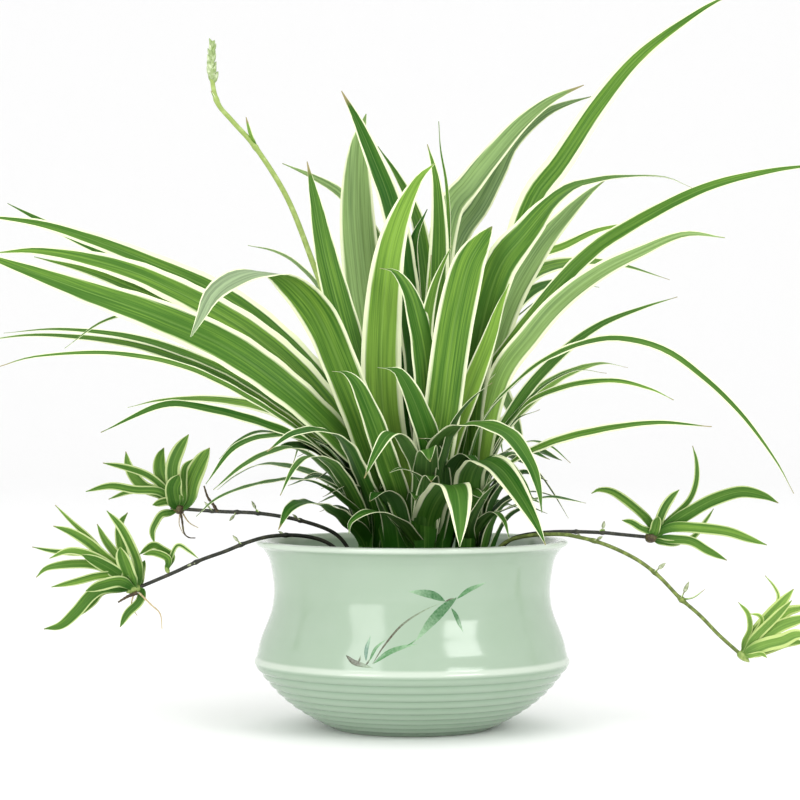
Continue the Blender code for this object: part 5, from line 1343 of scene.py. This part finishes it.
class SPIDER_OT_stalk(bpy.types.Operator):
    """Grow the flower stalk with its bracts and closed buds."""

    bl_idname = "spider_plant.stalk"
    bl_label = "Grow the flower stalk"

    def execute(self, context):
        plant = context.scene.spider_plant
        bark = stem_bark("flower_stalk_skin", plant.stem.stalk_color, "A9BC72")
        closed = stem_bark("closed_bud", linear("8EA468"), "CCD7B2")
        young = striped_leaf("young_leaf", plant.leaf, 0.2)
        curve = smooth_route(placed(FLOWER_STALK))
        radii = plant.stem.stalk_radius * (1 - 0.4 * np.linspace(0, 1, 160))
        shells = [stem_shell(curve, swollen(radii, STALK_BRACTS, 0.3, 0.006), 12, 160)]
        shells += [scale_shell(curve, scale, 760 + index, 1)
                   for index, scale in enumerate(STALK_BRACTS)]
        # The spike: buds set round the end of the stalk, smaller upwards
        for index in range(SPIKE_BUDS):
            height = index / (SPIKE_BUDS - 1)
            angle = index * math.radians(SPIKE_TURN)
            size = (SPIKE_LENGTH - SPIKE_SHORTER * height) * MM
            root = at_share(curve, SPIKE_START + (1 - SPIKE_START) * height)
            ray = unit(np.array((0.45 * math.cos(angle), 0.45 * math.sin(angle), 1.0)))
            shells.append(bud_shell(root, size * ray, 0.42 * size, 2))
        build_piece("flower_stalk_spike", shells, [bark, young, closed],
                    ["flower_stalk"])
        return {"FINISHED"}


class SPIDER_OT_runners(bpy.types.Operator):
    """Grow the four runners."""

    bl_idname = "spider_plant.runners"
    bl_label = "Grow the runners"

    def execute(self, context):
        plant = context.scene.spider_plant
        dark = stem_bark("dark_runner_skin", plant.stem.dark_color, "3D3D2E")
        green = stem_bark("green_runner_skin", plant.stem.green_color, "849648")
        scale = striped_leaf("bud_scale", plant.leaf, 0.1, 0.3)
        bud = stem_bark("runner_bud", linear("7E8A60"), "C3CBAA")
        for name in RUNNERS:
            make_runner(name, green if name == YOUNG else dark, scale, bud, plant.stem)
        return {"FINISHED"}


class SPIDER_OT_plantlets(bpy.types.Operator):
    """Grow the five plantlets on the runners."""

    bl_idname = "spider_plant.plantlets"
    bl_label = "Grow the plantlets"

    def execute(self, context):
        plant = context.scene.spider_plant
        leaf = striped_leaf("plantlet_leaf", plant.leaf, 0.0, 0.04, linear("BCCB8C"))
        young = striped_leaf("young_plantlet_leaf", plant.leaf, 0.15, 0.3, linear("CBD88C"))
        dry_knot = stem_bark("withered_knot", linear("3E301E"), "746C3A")
        green_knot = stem_bark("green_knot", linear("7C9646"), "A8B56C")
        root = stem_bark("air_root", plant.stem.root_color, "D8CBA6")
        for index, name in enumerate(PLANTLETS):
            knot = dry_knot if name.endswith("upper") else green_knot
            make_plantlet(name, [young if name == YOUNG else leaf, knot, root, dry_knot],
                          500 + 40 * index)
        return {"FINISHED"}


class SPIDER_OT_stage(bpy.types.Operator):
    """Set up the floor, the lights, the world and the camera."""

    bl_idname = "spider_plant.stage"
    bl_label = "Set the stage"

    def execute(self, context):
        scene = context.scene
        settings = scene.spider_plant.stage
        # The floor runs back flat and sweeps up behind the plant in a quarter round
        across = np.linspace(-7.0, 7.0, 3)
        turn = np.linspace(0, math.pi / 2, 24)
        depth = np.concatenate([[-7.0, 3.0], 4.0 + 2.0 * np.sin(turn), [6.0]])
        height = np.concatenate([[0.0, 0.0], 2.0 - 2.0 * np.cos(turn), [7.0]])
        vertices = np.array([(x, y, z) for y, z in zip(depth, height) for x in across])
        row = np.arange(len(depth) - 1)[:, None] * 3 + np.arange(2)[None, :]
        faces = np.stack([row, row + 1, row + 4, row + 3], axis=-1).reshape(-1, 4)
        mesh = bpy.data.meshes.new("floor")
        mesh.from_pydata(vertices.tolist(), [], faces.tolist())
        mesh.shade_smooth()
        material, tree, shader = new_material("matt_white_paint", 0.9)
        shader.inputs["Base Color"].default_value = settings.floor_color
        mesh.materials.append(material)
        floor = bpy.data.objects.new("floor", mesh)
        scene.collection.objects.link(floor)
        # Two windows in front, left and right, whose reflections show on the glaze, and a soft
        # light above: place, the spot it faces, width and height in metres, and its power
        window = settings.window_power
        for name, place, spot, size, power in (
                ("window_left", (-0.96, -1.27, 0.76), (0.0, 0.0, 0.76), (0.80, 1.28), window),
                ("window_right", (1.05, -1.22, 1.0), (0.0, 0.0, 1.0), (0.80, 0.68), window),
                ("sky", (0.0, -0.2, 2.4), (0.0, -0.19, 0.0), (2.6, 2.6), settings.sky_power)):
            light = bpy.data.lights.new(name, "AREA")
            light.shape = "RECTANGLE"
            light.size, light.size_y = size
            light.energy = power
            lamp = bpy.data.objects.new(name, light)
            lamp.location = place
            aim = unit(np.array(spot) - np.array(place))
            lamp.rotation_euler = (math.acos(-aim[2]), 0.0, math.atan2(-aim[0], aim[1]))
            lamp.visible_camera = False
            scene.collection.objects.link(lamp)
        world = bpy.data.worlds.new("studio")
        world.use_nodes = True
        background = world.node_tree.nodes["Background"]
        background.inputs["Color"].default_value = (1.0, 1.0, 1.0, 1.0)
        background.inputs["Strength"].default_value = settings.surround
        scene.world = world
        scene.view_settings.view_transform = "Standard"
        camera = bpy.data.cameras.new("front")
        camera.sensor_width = SENSOR_WIDTH
        camera.lens = FOCAL_PIXELS * SENSOR_WIDTH / FRAME_WIDTH
        camera.clip_end = 50.0
        eye = bpy.data.objects.new("front", camera)
        eye.location = EYE * MM
        eye.rotation_euler = (math.pi / 2, 0.0, 0.0)
        scene.collection.objects.link(eye)
        scene.camera = eye
        return {"FINISHED"}


OPERATORS = (SPIDER_OT_pot, SPIDER_OT_sprig, SPIDER_OT_soil, SPIDER_OT_leaves, SPIDER_OT_stalk,
             SPIDER_OT_runners, SPIDER_OT_plantlets, SPIDER_OT_stage)


class SPIDER_PT_plant(bpy.types.Panel):
    """List the steps that build the plant, with their settings."""

    bl_idname = "SPIDER_PT_plant"
    bl_label = "Spider plant"
    bl_space_type = "VIEW_3D"
    bl_region_type = "UI"
    bl_category = "Spider plant"

    def draw(self, context):
        plant = context.scene.spider_plant
        for operator in OPERATORS:
            self.layout.operator(operator.bl_idname)
        for group in (plant.pot, plant.soil, plant.leaf, plant.stem, plant.stage):
            box = self.layout.box()
            for name in group.__annotations__:
                box.prop(group, name)


CLASSES = (PotSettings, SoilSettings, LeafSettings, StemSettings, StageSettings, PlantSettings,
           *OPERATORS, SPIDER_PT_plant)


def register():
    """Register every class and hang the settings on the scene."""
    for each in CLASSES:
        bpy.utils.register_class(each)
    bpy.types.Scene.spider_plant = bpy.props.PointerProperty(
        name="Spider plant", description="Settings of the potted plant", type=PlantSettings)


def unregister():
    """Take the settings off the scene and unregister every class."""
    del bpy.types.Scene.spider_plant
    for each in reversed(CLASSES):
        bpy.utils.unregister_class(each)


def main():
    """Build the whole scene."""
    register()
    bpy.ops.spider_plant.pot()
    bpy.ops.spider_plant.sprig()
    bpy.ops.spider_plant.soil()
    bpy.ops.spider_plant.leaves()
    bpy.ops.spider_plant.stalk()
    bpy.ops.spider_plant.runners()
    bpy.ops.spider_plant.plantlets()
    bpy.ops.spider_plant.stage()


if __name__ == "__main__":
    main()
